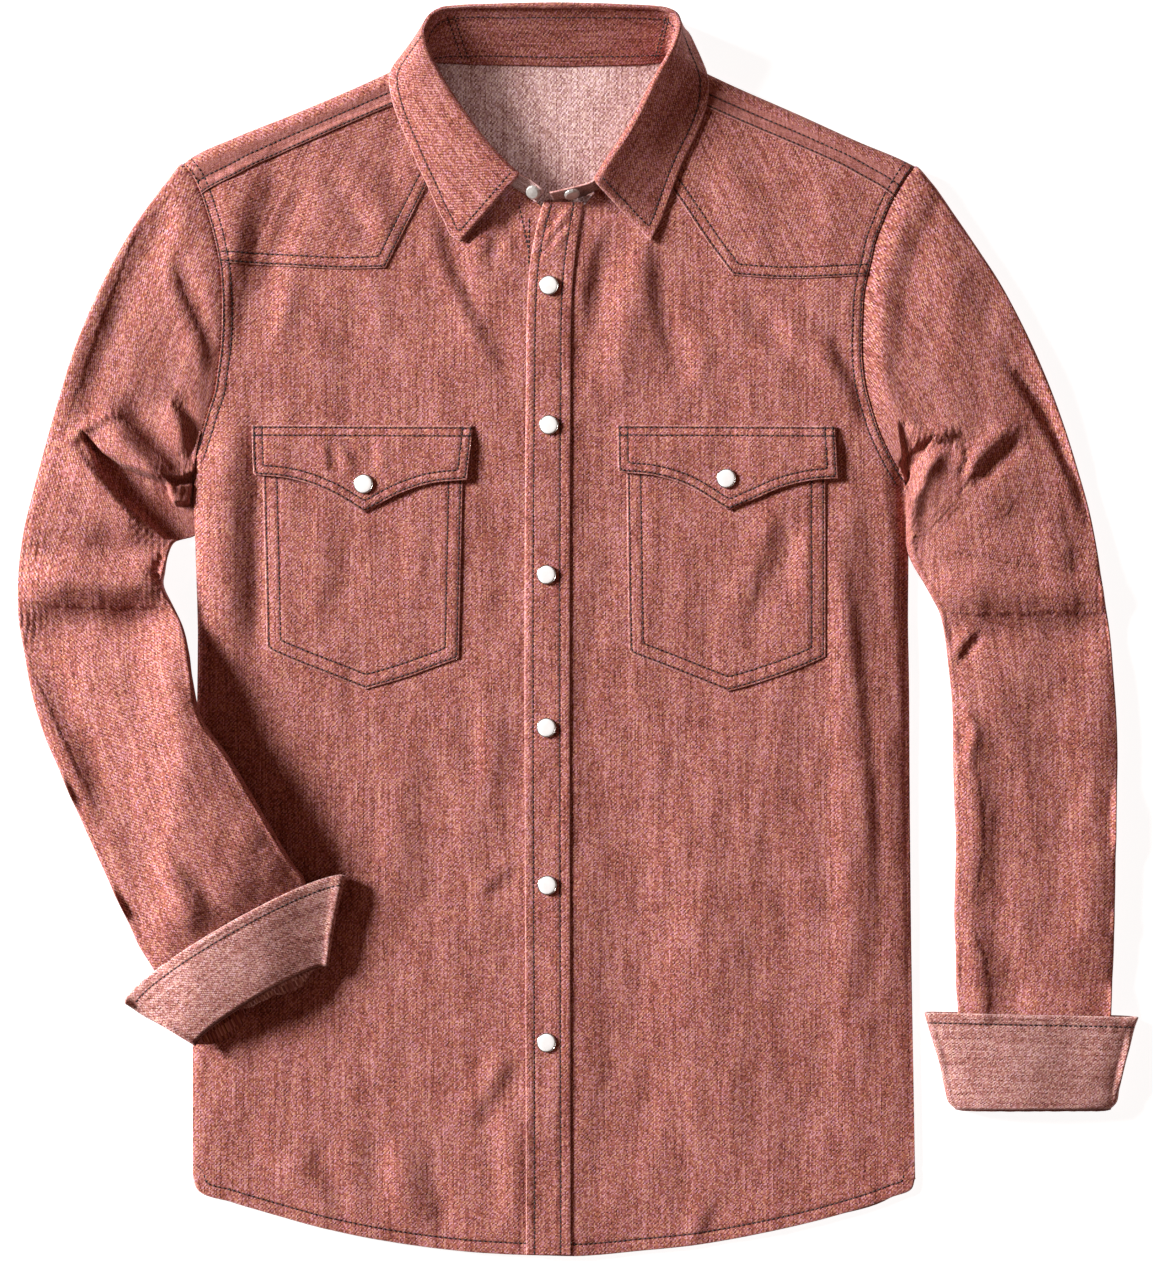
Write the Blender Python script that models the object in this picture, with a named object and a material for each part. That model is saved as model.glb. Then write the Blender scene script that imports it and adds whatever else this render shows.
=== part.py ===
"""Western snap shirt, lying open-necked on its back.

X runs across the shirt, Y from the hem towards the collar and Z up from the surface it lies
on. Sizes in the tables are in millimetres. Left and right are those of someone looking down
on the shirt. The back lies flat; the fronts lie on it, then the yokes, placket and pockets.
"""

import math
from collections import namedtuple

import bmesh
import bpy
from mathutils import Vector

MM = 0.001

# ---------------------------------------------------------------- driving sizes, in mm
CLOTH = 1.2                 # one wall of heavy cotton twill
GAP = 0.3                   # clearance between two pieces at a seam
LAYER = CLOTH + GAP         # how far a piece stands above the panel it lies on
EASE = 0.35                 # more clearance where a piece lies on a curved panel
SIDE_ROLL = 16.0            # width over which a front rounds down to the side seam
SHOULDER_ROLL = 8.0         # half width of the fold over the shoulder
YOKE_SEAM_Y = 240.0         # straight seam between the back and its yoke
BACK_INSET = 2.5            # the back's armhole lies this far inside the front's
UNDER_EDGE_X = -6.0         # edge of the under front, hidden by the placket
OVER_EDGE_X = -32.3         # edge of the over front, under the placket's edge
SNAP_RADIUS = 6.0
SNAP_HEIGHT = 2.3
SNAP_SIDES = 12
STUD_RADIUS = 4.6
STUD_HEIGHT = 2.6
POCKET_TOP_Y = 119.0        # pocket mouth, under the flap
FLAP_TOP_Y = 131.0
CUFF_LIFT = 1.9             # sleeve end held up inside its cuff
OVER_BODY = 0.9             # clearance of the left sleeve where it lies on the front
RAMP_START_X = -277.0       # where the left sleeve begins to rise onto the front
RAMP_WIDTH = 28.0
RAMP_TOP_Y = 60.0           # above this the left sleeve lies beside the front
RAMP_LENGTH = 70.0
TUBE_EDGE = 0.38            # height of a sleeve's side edges, as a share of its full height
SLEEVE_CROWN = 0.35         # how full a sleeve is: 0 is a box, 0.5 an ellipse, 1 a lens
CUFF_CROWN = 0.42
OVERLAP_EASE = 16.0         # width over which the over front settles past the under one
SEAM_TUCK = 3.0             # how far the fronts run in under the back yoke's seam
NECK_TUCK = 2.0             # how far the neckline runs in under the stand


def table(columns, rows):
    """Rows of named columns."""
    row = namedtuple("Row", columns)
    return [row(*values) for values in rows]


# Left and right edge of the body. Above the armpits (112) the line runs on outwards, as a
# guide for the roundness of the front, and the armholes cut it off.
SIDES = table("y left right", [
    (-400, -245.0, 214.5),
    (-347, -245.0, 214.5),
    (-262, -245.0, 213.0),
    (-200, -244.5, 212.0),
    (-100, -243.0, 211.0),
    (-25, -242.0, 210.5),
    (0, -241.8, 210.0),
    (60, -243.5, 210.0),
    (85, -244.0, 209.0),
    (112, -244.2, 207.0),
    (200, -247.0, 206.0),
    (310, -285.0, 250.0),
])

# Height of the fronts above the surface, down the middle of each.
LOFT = table("y height", [
    (-400, 3.6),
    (-330, 4.6),
    (-150, 8.0),
    (0, 10.0),
    (120, 10.8),
    (300, 9.8),
])

HEM = table("x y", [
    (-245, -347), (-241, -354.5), (-220, -363), (-200, -369), (-160, -380), (-120, -388),
    (-80, -393.5), (-40, -396.3), (0, -397), (40, -393.8), (80, -389.5), (120, -382),
    (160, -372.5), (200, -359.5), (211.5, -354.5), (214.5, -348),
])

ARMHOLE_LEFT = table("x y", [
    (-251.5, 297), (-245, 289), (-241, 281), (-237, 270), (-233, 257), (-230, 245),
    (-228, 235), (-226.5, 220), (-226, 200), (-227, 180), (-229, 165), (-231, 152),
    (-235, 140), (-238, 130), (-241, 120), (-243.8, 112),
])
ARMHOLE_RIGHT = table("x y", [
    (214.5, 295.5), (209, 289), (204, 281), (198, 270), (193, 258), (189, 247), (186, 233),
    (184, 225), (182, 215), (181, 200), (181, 170), (183, 155), (185, 147), (188, 137),
    (191, 128), (196, 117), (200, 109), (204, 102), (207.5, 97),
])

# Folded edge of the shoulder and, below it, the seam of the back yoke on the front.
SHOULDER_LEFT = table("x fold seam", [
    (-251.5, 297, 277.5),
    (-220, 313, 290),
    (-180, 329, 307),
    (-140, 346, 324.5),
    (-97, 366, 343),
])
SHOULDER_RIGHT = table("x fold seam", [
    (62, 364, 341.5),
    (100, 346, 324.5),
    (140, 328.5, 307.5),
    (180, 310.5, 290),
    (214.5, 295.5, 275.5),
])

# Pointed lower edge of each front yoke, from the armhole to the neck.
YOKE_EDGE_LEFT = table("x y", [(-227, 234), (-150, 230), (-122, 230.5), (-96, 283), (-77, 322)])
YOKE_EDGE_RIGHT = table("x y", [
    (185, 226), (130, 224), (98, 226), (90, 238), (80, 250.5), (70, 265.5), (60, 280), (34, 313),
])

PLACKET = table("y left right", [
    (272.5, -22.0, 4.0),
    (250, -27.8, 0.0),
    (225, -31.3, -3.0),
    (200, -32.5, -4.2),
    (160, -33.0, -4.5),
    (-396, -33.0, -4.5),
])

# Largest folds: start, end, half width and height (troughs below zero).
BODY_FOLDS = table("x0 y0 x1 y1 width height", [
    (-196, 298, -214, 200, 9, -1.8),
    (-224, 280, -222, 215, 8, 1.2),
    (-180, 288, -196, 236, 7, -1.1),
    (-93, 246, -78, 205, 11, -1.4),
    (32, 250, 24, 160, 10, 1.5),
    (52, 240, 56, 185, 9, -1.3),
    (160, 186, 178, 135, 7, -1.8),
    (108, 196, 128, 174, 7, -1.1),
    (-228, 100, -229, 0, 10, 1.2),
    (-206, 72, -205, 0, 9, -1.1),
    (170, 65, 172, -230, 11, 1.6),
    (192, 50, 194, -330, 9, -1.2),
    (-62, -50, -66, -120, 11, 0.9),
    (70, -100, 80, -300, 20, 0.8),
    (-120, -330, -116, -375, 11, 1.0),
    (-50, -300, -46, -380, 10, 1.2),
])
SLEEVE_LEFT_FOLDS = table("x0 y0 x1 y1 width height", [
    (-264, 276, -284, 236, 10, -2.4),
    (-284, 236, -318, 132, 11, -3.0),
    (-262, 255, -258, 215, 9, 1.8),
    (-250, 218, -230, 168, 9, -2.4),
    (-330, 116, -300, 134, 7, 2.6),
    (-308, 118, -258, 66, 8, -5.2),
    (-300, 128, -262, 92, 8, 2.2),
    (-284, 134, -248, 98, 8, -3.0),
    (-262, 132, -250, 108, 6, 2.0),
    (-346, 34, -285, 32, 9, 2.6),
    (-350, 14, -275, 12, 10, -2.2),
    (-336, -30, -290, -118, 11, -2.4),
    (-252, -142, -230, -182, 10, -2.2),
])
SLEEVE_RIGHT_FOLDS = table("x0 y0 x1 y1 width height", [
    (276, 168, 318, 84, 8, -3.2),
    (288, 180, 318, 110, 7, 1.8),
    (250, 98, 278, 124, 8, -3.0),
    (222, 124, 244, 124, 6, 2.4),
    (205, 104, 226, 120, 6, -3.2),
    (214, 60, 234, 116, 6, 2.6),
    (240, -18, 256, -4, 8, -2.6),
    (242, -50, 248, -66, 6, 2.4),
    (250, -90, 250, -220, 10, 2.0),
    (278, -60, 278, -220, 14, -2.0),
    (240, -178, 258, -194, 7, -1.8),
    (326, -60, 326, -220, 12, 1.4),
])

# Rings of each sleeve from the armhole down: outer and inner edge, lift off the surface,
# height of the tube, and how far the ring bows back up the sleeve.
SLEEVE_LEFT = table("ox oy ix iy lift height bow", [
    (-252.0, 297.2, -244.6, 111.8, 0, 12.2, 0),
    (-266, 280, -245, 105, 0, 12.0, 0),
    (-284, 255, -245, 96.5, 0, 12.0, 0),
    (-297, 232, -245, 88, 0, 12.0, 0),
    (-310, 205, -245, 79.5, 0, 12.5, 0),
    (-320, 180, -245, 71, 0, 12.5, 0),
    (-330, 148, -245, 63, 0, 13.0, 2),
    (-338, 120, -256, 57, 0, 13.0, 4),
    (-346, 90, -260, 49, 0, 12.5, 4),
    (-353, 60, -262, 38, 0, 12.5, 3),
    (-356, 30, -262.5, 28, 0, 13.5, 0),
    (-355.5, 8, -257, 17, 0, 15.0, 0),
    (-352, -12, -250.5, 4, 0, 18.5, 0),
    (-347, -38, -246, -13, 0, 22.5, 0),
    (-338, -67, -243.5, -30, 0, 26.5, 0),
    (-325, -96, -238, -54, 0, 29.0, 0),
    (-311.5, -128, -220, -80, 0, 30.0, 0),
    (-299.7, -154, -205, -105, 0, 29.0, 0),
    (-287.5, -179, -191, -129, 0, 25.5, 0),
    (-278, -201, -180, -147, 0, 20.0, 3),
    (-269.5, -214, -172.5, -158, CUFF_LIFT, 14.0, 6),
    (-256, -238, -165, -183, CUFF_LIFT, 12.5, 6),
    (-240.8, -259.2, -160.8, -212.6, CUFF_LIFT, 11.5, 4),
])
SLEEVE_RIGHT = table("ox oy ix iy lift height bow", [
    (215.0, 295.8, 208.3, 96.8, 0, 12.2, 0),
    (225, 285, 209.4, 91, 0, 12.0, 0),
    (240, 264, 209.9, 85, 0, 12.0, 0),
    (255, 242, 210.3, 79, 0, 12.0, 0),
    (268, 222, 210.6, 73, 0, 12.5, 0),
    (280, 200, 210.8, 67, 0, 12.5, 0),
    (291, 177, 210.9, 61, 0, 12.5, 0),
    (301, 153, 211, 55, 0, 12.5, 0),
    (310, 128, 212, 48.5, 0, 12.0, 0),
    (318, 102, 214.5, 40, 0, 12.0, 0),
    (325, 77, 219.5, 31, 0, 12.0, 0),
    (330, 52, 225, 21, 0, 12.0, 0),
    (334, 25, 230, 11, 0, 11.5, 0),
    (338, 0, 233, -3, 0, 12.0, 0),
    (340.5, -28, 235.3, -22, 0, 12.0, 0),
    (342.5, -58, 237.8, -48, 0, 12.5, 0),
    (343, -85, 238.2, -75, 0, 12.5, 0),
    (342, -112, 238.8, -103, 0, 13.0, 0),
    (341.8, -140, 240, -132, 0, 13.0, 0),
    (341.5, -165, 239.5, -160, 0, 13.0, 0),
    (341, -185, 239, -180, 0, 12.5, 0),
    (340.5, -207, 240, -205, 0, 12.0, 0),
    (339.5, -226, 240.3, -226, 0, 11.0, 0),
    (338.8, -238, 241.2, -238, CUFF_LIFT, 10.5, 0),
    (338.2, -268, 242.4, -268, CUFF_LIFT, 10.0, 0),
    (337.6, -300.8, 243.2, -300.8, CUFF_LIFT, 9.5, 0),
])
CUFF_LEFT = table("ox oy ix iy lift height bow", [
    (-287, -236, -147, -155.5, 0, 21.0, 12),
    (-277.5, -243.3, -150.5, -170, 0, 20.5, 10),
    (-260.5, -251.5, -154, -186, 0, 19.5, 8),
    (-252, -256.5, -156.5, -201, 0, 18.0, 6),
    (-243, -262, -158, -212, 0, 16.5, 4),
])
CUFF_RIGHT = table("ox oy ix iy lift height bow", [
    (355.5, -244.8, 219.8, -242, 0, 17.0, 0.5),
    (351.8, -258, 224.2, -257, 0, 17.0, 0.5),
    (347, -275, 229.5, -274.5, 0, 16.5, 0),
    (343.8, -290, 232.8, -290, 0, 16.0, 0),
    (341.2, -303, 236.6, -303, 0, 15.5, 0),
])

# Where a ring's points stand across the tube, from 0 at its outer edge to 1 at its inner.
RING_TOP = (0.03, 0.10, 0.19, 0.28, 0.37, 0.46, 0.55, 0.64, 0.73, 0.82, 0.91, 0.97)
RING_BOTTOM = (0.985, 0.86, 0.68, 0.5, 0.32, 0.14, 0.015)

POCKET_LEFT = table("x y", [
    (-200.5, POCKET_TOP_Y), (-198, -9), (-195, -12), (-180, -19), (-150, -31), (-135, -36.5),
    (-110, -30), (-90, -22.5), (-74, -17), (-72.5, POCKET_TOP_Y),
])
POCKET_RIGHT = table("x y", [
    (30.5, POCKET_TOP_Y), (32.5, -12), (34, -14), (60, -24), (85, -34.5), (95, -38),
    (115, -33), (145, -22), (158, -15), (157, POCKET_TOP_Y),
])
FLAP_LEFT = table("x y", [
    (-207, FLAP_TOP_Y), (-206, 100), (-205, 99), (-190, 98), (-175, 95), (-155, 87),
    (-135, 75), (-115, 86.5), (-95, 93.5), (-70, 96), (-66.5, FLAP_TOP_Y),
])
FLAP_RIGHT = table("x y", [
    (25, FLAP_TOP_Y), (25, 102), (26, 101), (50, 98.5), (70, 92), (90, 80), (95.5, 76.5),
    (110, 83), (130, 91.5), (150, 96), (165, 97), (163, FLAP_TOP_Y),
])

# Collar stand from its left tip round the back to its right tip: seam and top edge.
STAND = table("sx sy tx ty tz", [
    (-26, 272, -21.5, 280, 16),
    (-34, 278, -30, 286.5, 18),
    (-42, 283.5, -37, 290, 20),
    (-49, 290, -44, 296, 20.5),
    (-58, 299.5, -53, 305, 22),
    (-68, 312, -63, 317, 24),
    (-78, 327, -73, 331, 26),
    (-87, 341, -82, 344, 28),
    (-95, 354, -90, 358, 30),
    (-94, 361, -95, 371, 31),
    (-86, 361.5, -95, 381, 31),
    (-78, 361, -89, 389, 30.5),
    (-68, 360.5, -79, 392.3, 30),
    (-40, 360, -45, 393, 30),
    (-12, 359.5, -12, 393.2, 30),
    (18, 360, 20, 393, 30),
    (40, 360.5, 46, 392.3, 30),
    (49, 361.5, 57, 390.5, 30),
    (57, 361.5, 62, 384, 30),
    (59.5, 355.5, 60.5, 375, 30),
    (57, 349, 55, 362, 29),
    (50, 339, 45, 345, 28),
    (40, 322, 35, 325, 26),
    (32, 308, 27, 312, 24),
    (22.5, 294, 17, 298, 22.5),
    (14, 282.5, 10, 286, 21.5),
    (2, 277.5, -1, 282, 21),
    (-8, 275.5, -10, 279.8, 21),
    (-16, 274.5, -18, 278, 21),
])

# Collar leaf from its left point round the back to its right point: fold and free edge.
LEAF = table("fx fy fz ex ey", [
    (-37, 290, 20, -74, 247),
    (-41, 293.2, 20.2, -80, 250.5),
    (-48, 300, 21, -84.5, 259),
    (-55, 307.3, 22.3, -90, 270),
    (-63, 317, 24, -95, 281.5),
    (-69, 325.3, 25.2, -100.5, 293),
    (-77, 336.8, 27, -106.5, 307),
    (-83, 346, 28.3, -113, 322),
    (-88, 354.8, 29.5, -117.5, 335),
    (-92.5, 363.5, 30.5, -120, 350),
    (-95, 371, 31, -117.5, 359.5),
    (-95.8, 377, 31, -110.5, 369.5),
    (-94.5, 383, 31, -101.5, 381),
    (-90.5, 388.2, 30.5, -94, 389),
    (-84.5, 391.5, 30.2, -86, 392.8),
    (-75, 392.6, 30, -76, 393.3),
    (-50, 393, 30, -50, 393.6),
    (-25, 393.2, 30, -25, 393.8),
    (5, 393.2, 30, 5, 393.8),
    (30, 392.8, 30, 30, 393.5),
    (46, 392.3, 30, 46, 393),
    (54, 391.2, 30, 55.5, 391.8),
    (60, 388.3, 30, 62, 387.8),
    (62.4, 383, 30, 70, 382),
    (61.6, 377, 30, 75.5, 371.5),
    (58, 367.8, 29.3, 81, 358),
    (53, 358.5, 28.7, 83, 346),
    (47.5, 349, 28.3, 81.5, 333),
    (41, 336.5, 27, 75.5, 316),
    (35, 325, 26, 69.5, 304),
    (30, 316.5, 24.6, 65, 294),
    (24, 307.5, 23.5, 60, 281),
    (18.5, 299.8, 22.6, 56, 270),
    (13.5, 291.5, 22, 52, 259),
    (10, 286, 21.5, 46, 247.5),
])
LEAF_ROLL = table("out up", [(-0.2, 2.0), (0.9, 3.3), (3.6, 3.8)])   # the fold over the stand
LEAF_DROP = (0.14, 0.3, 0.5, 0.7, 0.87, 1.0)                        # rows from fold to edge
NECK_CENTRE = (-16.0, 338.0)

SNAPS = table("name x y", [
    ("snap_1", -18.5, 219.5),
    ("snap_2", -18.5, 131.0),
    ("snap_3", -20.0, 36.0),
    ("snap_4", -20.0, -61.0),
    ("snap_5", -19.5, -161.0),
    ("snap_6", -20.0, -261.0),
])

RUST = (0.43, 0.155, 0.125)
RUST_REVERSE = (0.56, 0.32, 0.29)
PEARL = (0.83, 0.82, 0.80)
STEEL = (0.62, 0.61, 0.60)


# ---------------------------------------------------------------- reading the tables
def mix(a, b, share):
    return a + (b - a) * share


def ease(share):
    """0 to 1 with soft ends."""
    share = min(1.0, max(0.0, share))
    return share * share * (3 - 2 * share)


def read(rows, key, column, at):
    """The column's value where the key column reads at, straight between rows."""
    rows = sorted(rows, key=lambda row: getattr(row, key))
    if at <= getattr(rows[0], key):
        return getattr(rows[0], column)
    for low, high in zip(rows, rows[1:]):
        start, end = getattr(low, key), getattr(high, key)
        if at <= end:
            return mix(getattr(low, column), getattr(high, column), (at - start) / (end - start))
    return getattr(rows[-1], column)


def edge(points):
    """An edge as a function of its share of the length, 0 to 1."""
    points = [(p[0], p[1]) for p in points]
    lengths = [0.0]
    for a, b in zip(points, points[1:]):
        lengths.append(lengths[-1] + math.dist(a, b))

    def at(share):
        want = share * lengths[-1]
        for k in range(1, len(points)):
            if want <= lengths[k] or k == len(points) - 1:
                part = (want - lengths[k - 1]) / max(lengths[k] - lengths[k - 1], 1e-9)
                part = min(1.0, max(0.0, part))
                return tuple(mix(a, b, part) for a, b in zip(points[k - 1], points[k]))
    return at


def patch(bottom, top, left, right):
    """Plan of a panel between four edges: across 0 to 1, then up 0 to 1."""
    def at(u, v):
        b, t, l, r = bottom(u), top(u), left(v), right(v)
        corners = bottom(0), bottom(1), top(0), top(1)
        return tuple(
            mix(b[k], t[k], v) + mix(l[k], r[k], u)
            - mix(mix(corners[0][k], corners[1][k], u), mix(corners[2][k], corners[3][k], u), v)
            for k in (0, 1))
    return at


# ---------------------------------------------------------------- heights of the shirt
def relief(folds, x, y):
    """Height of the folds at a point."""
    total = 0.0
    for fold in folds:
        dx, dy = fold.x1 - fold.x0, fold.y1 - fold.y0
        length = math.hypot(dx, dy)
        along = ((x - fold.x0) * dx + (y - fold.y0) * dy) / length
        aside = ((x - fold.x0) * dy - (y - fold.y0) * dx) / length
        past = max(0.0, -along, along - length)
        total += fold.height * math.exp(-(aside / fold.width) ** 2 - (past / fold.width) ** 2)
    return total


def front_top(x, y):
    """Top of the under front, and of the over front away from the placket."""
    floor = CLOTH + LAYER
    inside = min(x - read(SIDES, "y", "left", y), read(SIDES, "y", "right", y) - x)
    rise = min(1.0, max(0.0, inside / SIDE_ROLL))
    round_edge = math.sqrt(1 - (1 - rise) ** 2)
    height = read(LOFT, "y", "height", y) + relief(BODY_FOLDS, x, y)
    return floor + (height - floor) * round_edge


def over_top(x, y):
    """Top of the over front, which steps up over the under front's edge."""
    step = LAYER + EASE / 2
    return front_top(x, y) + step * (1 - ease((x - UNDER_EDGE_X - 10 * GAP) / OVERLAP_EASE))


def side_top(x, y):
    """Top of whichever front is at a point."""
    return over_top(x, y) if x > read(PLACKET, "y", "left", y) else front_top(x, y)


def fold_line(x):
    return read(SHOULDER_LEFT if x < 0 else SHOULDER_RIGHT, "x", "fold", x)


def seam_line(x):
    return read(SHOULDER_LEFT if x < 0 else SHOULDER_RIGHT, "x", "seam", x)


def hole_x(rows, y, inward=0.0):
    """Where an armhole crosses a height, moved in towards the body."""
    return read(rows, "y", "x", y) + (inward if rows is ARMHOLE_LEFT else -inward)


def hole_edge(rows, low, high, inward=0.5):
    """Points of an armhole between two heights, upwards."""
    middle = sorted(p.y for p in rows if low < p.y < high)
    return [(hole_x(rows, y, inward), y) for y in [low, *middle, high]]


def on_yoke(x, y):
    """Whether a front yoke lies here."""
    if x < 0:
        return x < -100 or y > read(YOKE_EDGE_LEFT, "x", "y", x)
    return x > 92 or y > read(YOKE_EDGE_RIGHT, "x", "y", x)


def stack_top(x, y):
    """Top of everything sewn on the fronts, for what lies on the shoulders."""
    top = side_top(x, y)
    if y > 225 and on_yoke(x, y):
        top += LAYER + EASE
    if y > seam_line(x) - 2:
        top += LAYER + EASE
    past = y - (fold_line(x) - SHOULDER_ROLL)
    if past > 0:
        top *= 0.5 + 0.5 * math.sqrt(max(0.0, 1 - (past / SHOULDER_ROLL) ** 2))
    return top if past < SHOULDER_ROLL + 1 else 0.0


def rest_height(x, y, reach=4.0):
    """Highest point of the shirt within reach, so that an edge laid there clears it."""
    spots = [(0, 0)] + [(reach * math.cos(k * math.pi / 3), reach * math.sin(k * math.pi / 3))
                        for k in range(6)]
    return max(stack_top(x + dx, y + dy) for dx, dy in spots)


# ---------------------------------------------------------------- building solids
def finish(name, colour, roughness, metallic=0.0):
    material = bpy.data.materials.new(name)
    material.use_nodes = True
    shader = material.node_tree.nodes["Principled BSDF"]
    shader.inputs["Base Color"].default_value = (*colour, 1.0)
    shader.inputs["Roughness"].default_value = roughness
    shader.inputs["Metallic"].default_value = metallic
    return material


def add_object(name, bm, material):
    mesh = bpy.data.meshes.new(name)
    bmesh.ops.recalc_face_normals(bm, faces=bm.faces[:])
    if bm.calc_volume(signed=True) < 0:
        bmesh.ops.reverse_faces(bm, faces=bm.faces[:])
    bm.to_mesh(mesh)
    bm.free()
    mesh.materials.append(material)
    shape = bpy.data.objects.new(name, mesh)
    bpy.context.scene.collection.objects.link(shape)
    return shape


def cloth(name, columns, rows, place, colour=RUST, ring=False, keep=None):
    """A closed cloth wall over a grid: place(i, j) gives its outer and its inner point."""
    bm = bmesh.new()
    column, row = bm.verts.layers.int.new("column"), bm.verts.layers.int.new("row")
    bmesh.ops.create_grid(bm, x_segments=columns, y_segments=rows, size=1)
    corner = {}
    for vert in bm.verts:
        vert[column] = round((vert.co.x + 1) / 2 * columns)
        vert[row] = round((vert.co.y + 1) / 2 * rows)
        corner[vert[column], vert[row]] = vert
    if ring:
        ends = {corner[columns, j]: corner[0, j] for j in range(rows + 1)}
        bmesh.ops.weld_verts(bm, targetmap=ends)
    if keep:
        gone = [face for face in bm.faces
                if not keep(min(v[column] for v in face.verts), min(v[row] for v in face.verts))]
        bmesh.ops.delete(bm, geom=gone, context="FACES")
    thick = bmesh.ops.extrude_face_region(bm, geom=bm.faces[:], use_keep_orig=True)["geom"]
    outer = {part for part in thick if isinstance(part, bmesh.types.BMVert)}
    for vert in bm.verts:
        outside, inside = place(vert[column], vert[row])
        vert.co = Vector(outside if vert in outer else inside) * MM
    return add_object(name, bm, finish(name, colour, 0.9))


def panel(name, columns, rows, plan, height, colour=RUST):
    """A panel lying on what is under it: its top follows height, its wall goes straight down."""
    def place(i, j):
        x, y = plan(i / columns, j / rows)
        top = height(x, y)
        return (x, y, top), (x, y, top - CLOTH)
    return cloth(name, columns, rows, place, colour)


def offset_wall(name, grid, thickness, colour=RUST):
    """A cloth wall from a grid of outer points, its inner points moved in along the normals."""
    rows, columns = len(grid) - 1, len(grid[0]) - 1

    def place(i, j):
        across = grid[j][min(i + 1, columns)] - grid[j][max(i - 1, 0)]
        down = grid[min(j + 1, rows)][i] - grid[max(j - 1, 0)][i]
        normal = across.cross(down).normalized()
        return grid[j][i], grid[j][i] - normal * thickness
    return cloth(name, columns, rows, place, colour)


def turned(name, profile, centre, colour, roughness, metallic, lean=None):
    """A small round part, spun from a profile of radius and height about its own axis."""
    bm = bmesh.new()
    ring = [bm.verts.new((radius, 0, height)) for radius, height in profile]
    line = [bm.edges.new(pair) for pair in zip(ring, ring[1:])]
    bmesh.ops.spin(bm, geom=ring + line, cent=(0, 0, 0), axis=(0, 0, 1), dvec=(0, 0, 0),
                   angle=math.tau, steps=SNAP_SIDES, use_merge=True, use_duplicate=False)
    bmesh.ops.remove_doubles(bm, verts=bm.verts[:], dist=0.01)
    if lean:
        turn = Vector((0, 0, 1)).rotation_difference(Vector(lean)).to_matrix()
        bmesh.ops.rotate(bm, verts=bm.verts[:], cent=(0, 0, 0), matrix=turn)
    bmesh.ops.scale(bm, verts=bm.verts[:], vec=(MM, MM, MM))
    bmesh.ops.translate(bm, verts=bm.verts[:], vec=Vector(centre) * MM)
    return add_object(name, bm, finish(name, colour, roughness, metallic))


# ---------------------------------------------------------------- back and back yoke
def make_back():
    side_left = [(row.left, row.y) for row in SIDES if -347 <= row.y <= 85]
    side_right = [(row.right, row.y) for row in SIDES if -347 <= row.y <= 85]
    left = edge(side_left + hole_edge(ARMHOLE_LEFT, 112, YOKE_SEAM_Y - GAP, BACK_INSET))
    right = edge(side_right + hole_edge(ARMHOLE_RIGHT, 97, YOKE_SEAM_Y - GAP, BACK_INSET))
    hem = edge([side_left[0]] + [(p.x, p.y) for p in HEM[1:-1]] + [side_right[0]])
    top = edge([left(1), right(1)])
    plan = patch(hem, top, left, right)
    panel("back", 14, 16, plan, lambda x, y: CLOTH)


def make_yoke_back():
    """The yoke lies flat under the neck and folds over each shoulder to its front seam."""
    left_columns, neck_columns, right_columns = 9, 8, 9
    columns = left_columns + neck_columns + right_columns
    plate_rows, fold_rows, strip_rows = 4, 6, 2
    shoulder_left = edge([(p.x, p.fold) for p in SHOULDER_LEFT])
    shoulder_right = edge([(p.x, p.fold) for p in SHOULDER_RIGHT])
    neck = edge([(-97, 358), (-86, 361), (-72, 362.5), (-12, 362), (40, 362.5), (52, 361),
                 (62, 356)])
    seam_width = [hole_x(rows, YOKE_SEAM_Y, BACK_INSET) for rows in (ARMHOLE_LEFT, ARMHOLE_RIGHT)]

    def drawn_in(x, y, i, inward):
        """A column's place at a height: the armhole draws the columns beside it in."""
        if i < left_columns:
            return x + (hole_x(ARMHOLE_LEFT, y, inward) - SHOULDER_LEFT[0].x) * (
                1 - i / left_columns) ** 2
        if i > left_columns + neck_columns:
            return x + (hole_x(ARMHOLE_RIGHT, y, inward) - SHOULDER_RIGHT[-1].x) * (
                (i - left_columns - neck_columns) / right_columns) ** 2
        return x

    def plate_end(i):
        """Where a column's flat part ends: at the shoulder's fold, or at the neck."""
        if left_columns < i < left_columns + neck_columns:
            return neck((i - left_columns) / neck_columns)
        past = i - left_columns - neck_columns
        x, y = shoulder_left(i / left_columns) if past < 0 else shoulder_right(past / right_columns)
        return x, y - SHOULDER_ROLL

    def place(i, j):
        end = plate_end(i)
        if j <= plate_rows:
            share = j / plate_rows
            y = mix(YOKE_SEAM_Y, end[1], share)
            seam_x = mix(*seam_width, i / columns)
            x = mix(seam_x, drawn_in(end[0], y, i, BACK_INSET), share)
            return (x, y, 0), (x, y, CLOTH)
        top = front_top(end[0], end[1] - 4) + 2 * (LAYER + EASE)
        if j <= plate_rows + fold_rows:
            turn = math.pi * (j - plate_rows) / fold_rows
            half = top / 2
            reach, rise = math.sin(turn), -math.cos(turn)
            y = end[1] + SHOULDER_ROLL * reach
            x = drawn_in(end[0], y, i, mix(BACK_INSET, 2 * GAP, ease((turn - 0.5) / 0.7)))
            outer = (x, y, half + half * rise)
            inner = (x, end[1] + (SHOULDER_ROLL - CLOTH) * reach, half + (half - CLOTH) * rise)
            return outer, inner
        share = (j - plate_rows - fold_rows) / strip_rows
        y = mix(end[1], seam_line(end[0]), share)
        x = drawn_in(end[0], y, i, 2 * GAP)
        top = mix(top, front_top(x, y) + 2 * (LAYER + EASE), share)
        return (x, y, top), (x, y, top - CLOTH)

    def keep(i, j):
        neck_column = left_columns <= i < left_columns + neck_columns
        return j < plate_rows or not neck_column

    cloth("yoke_back", columns, plate_rows + fold_rows + strip_rows, place, RUST_REVERSE,
          keep=keep)


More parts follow.
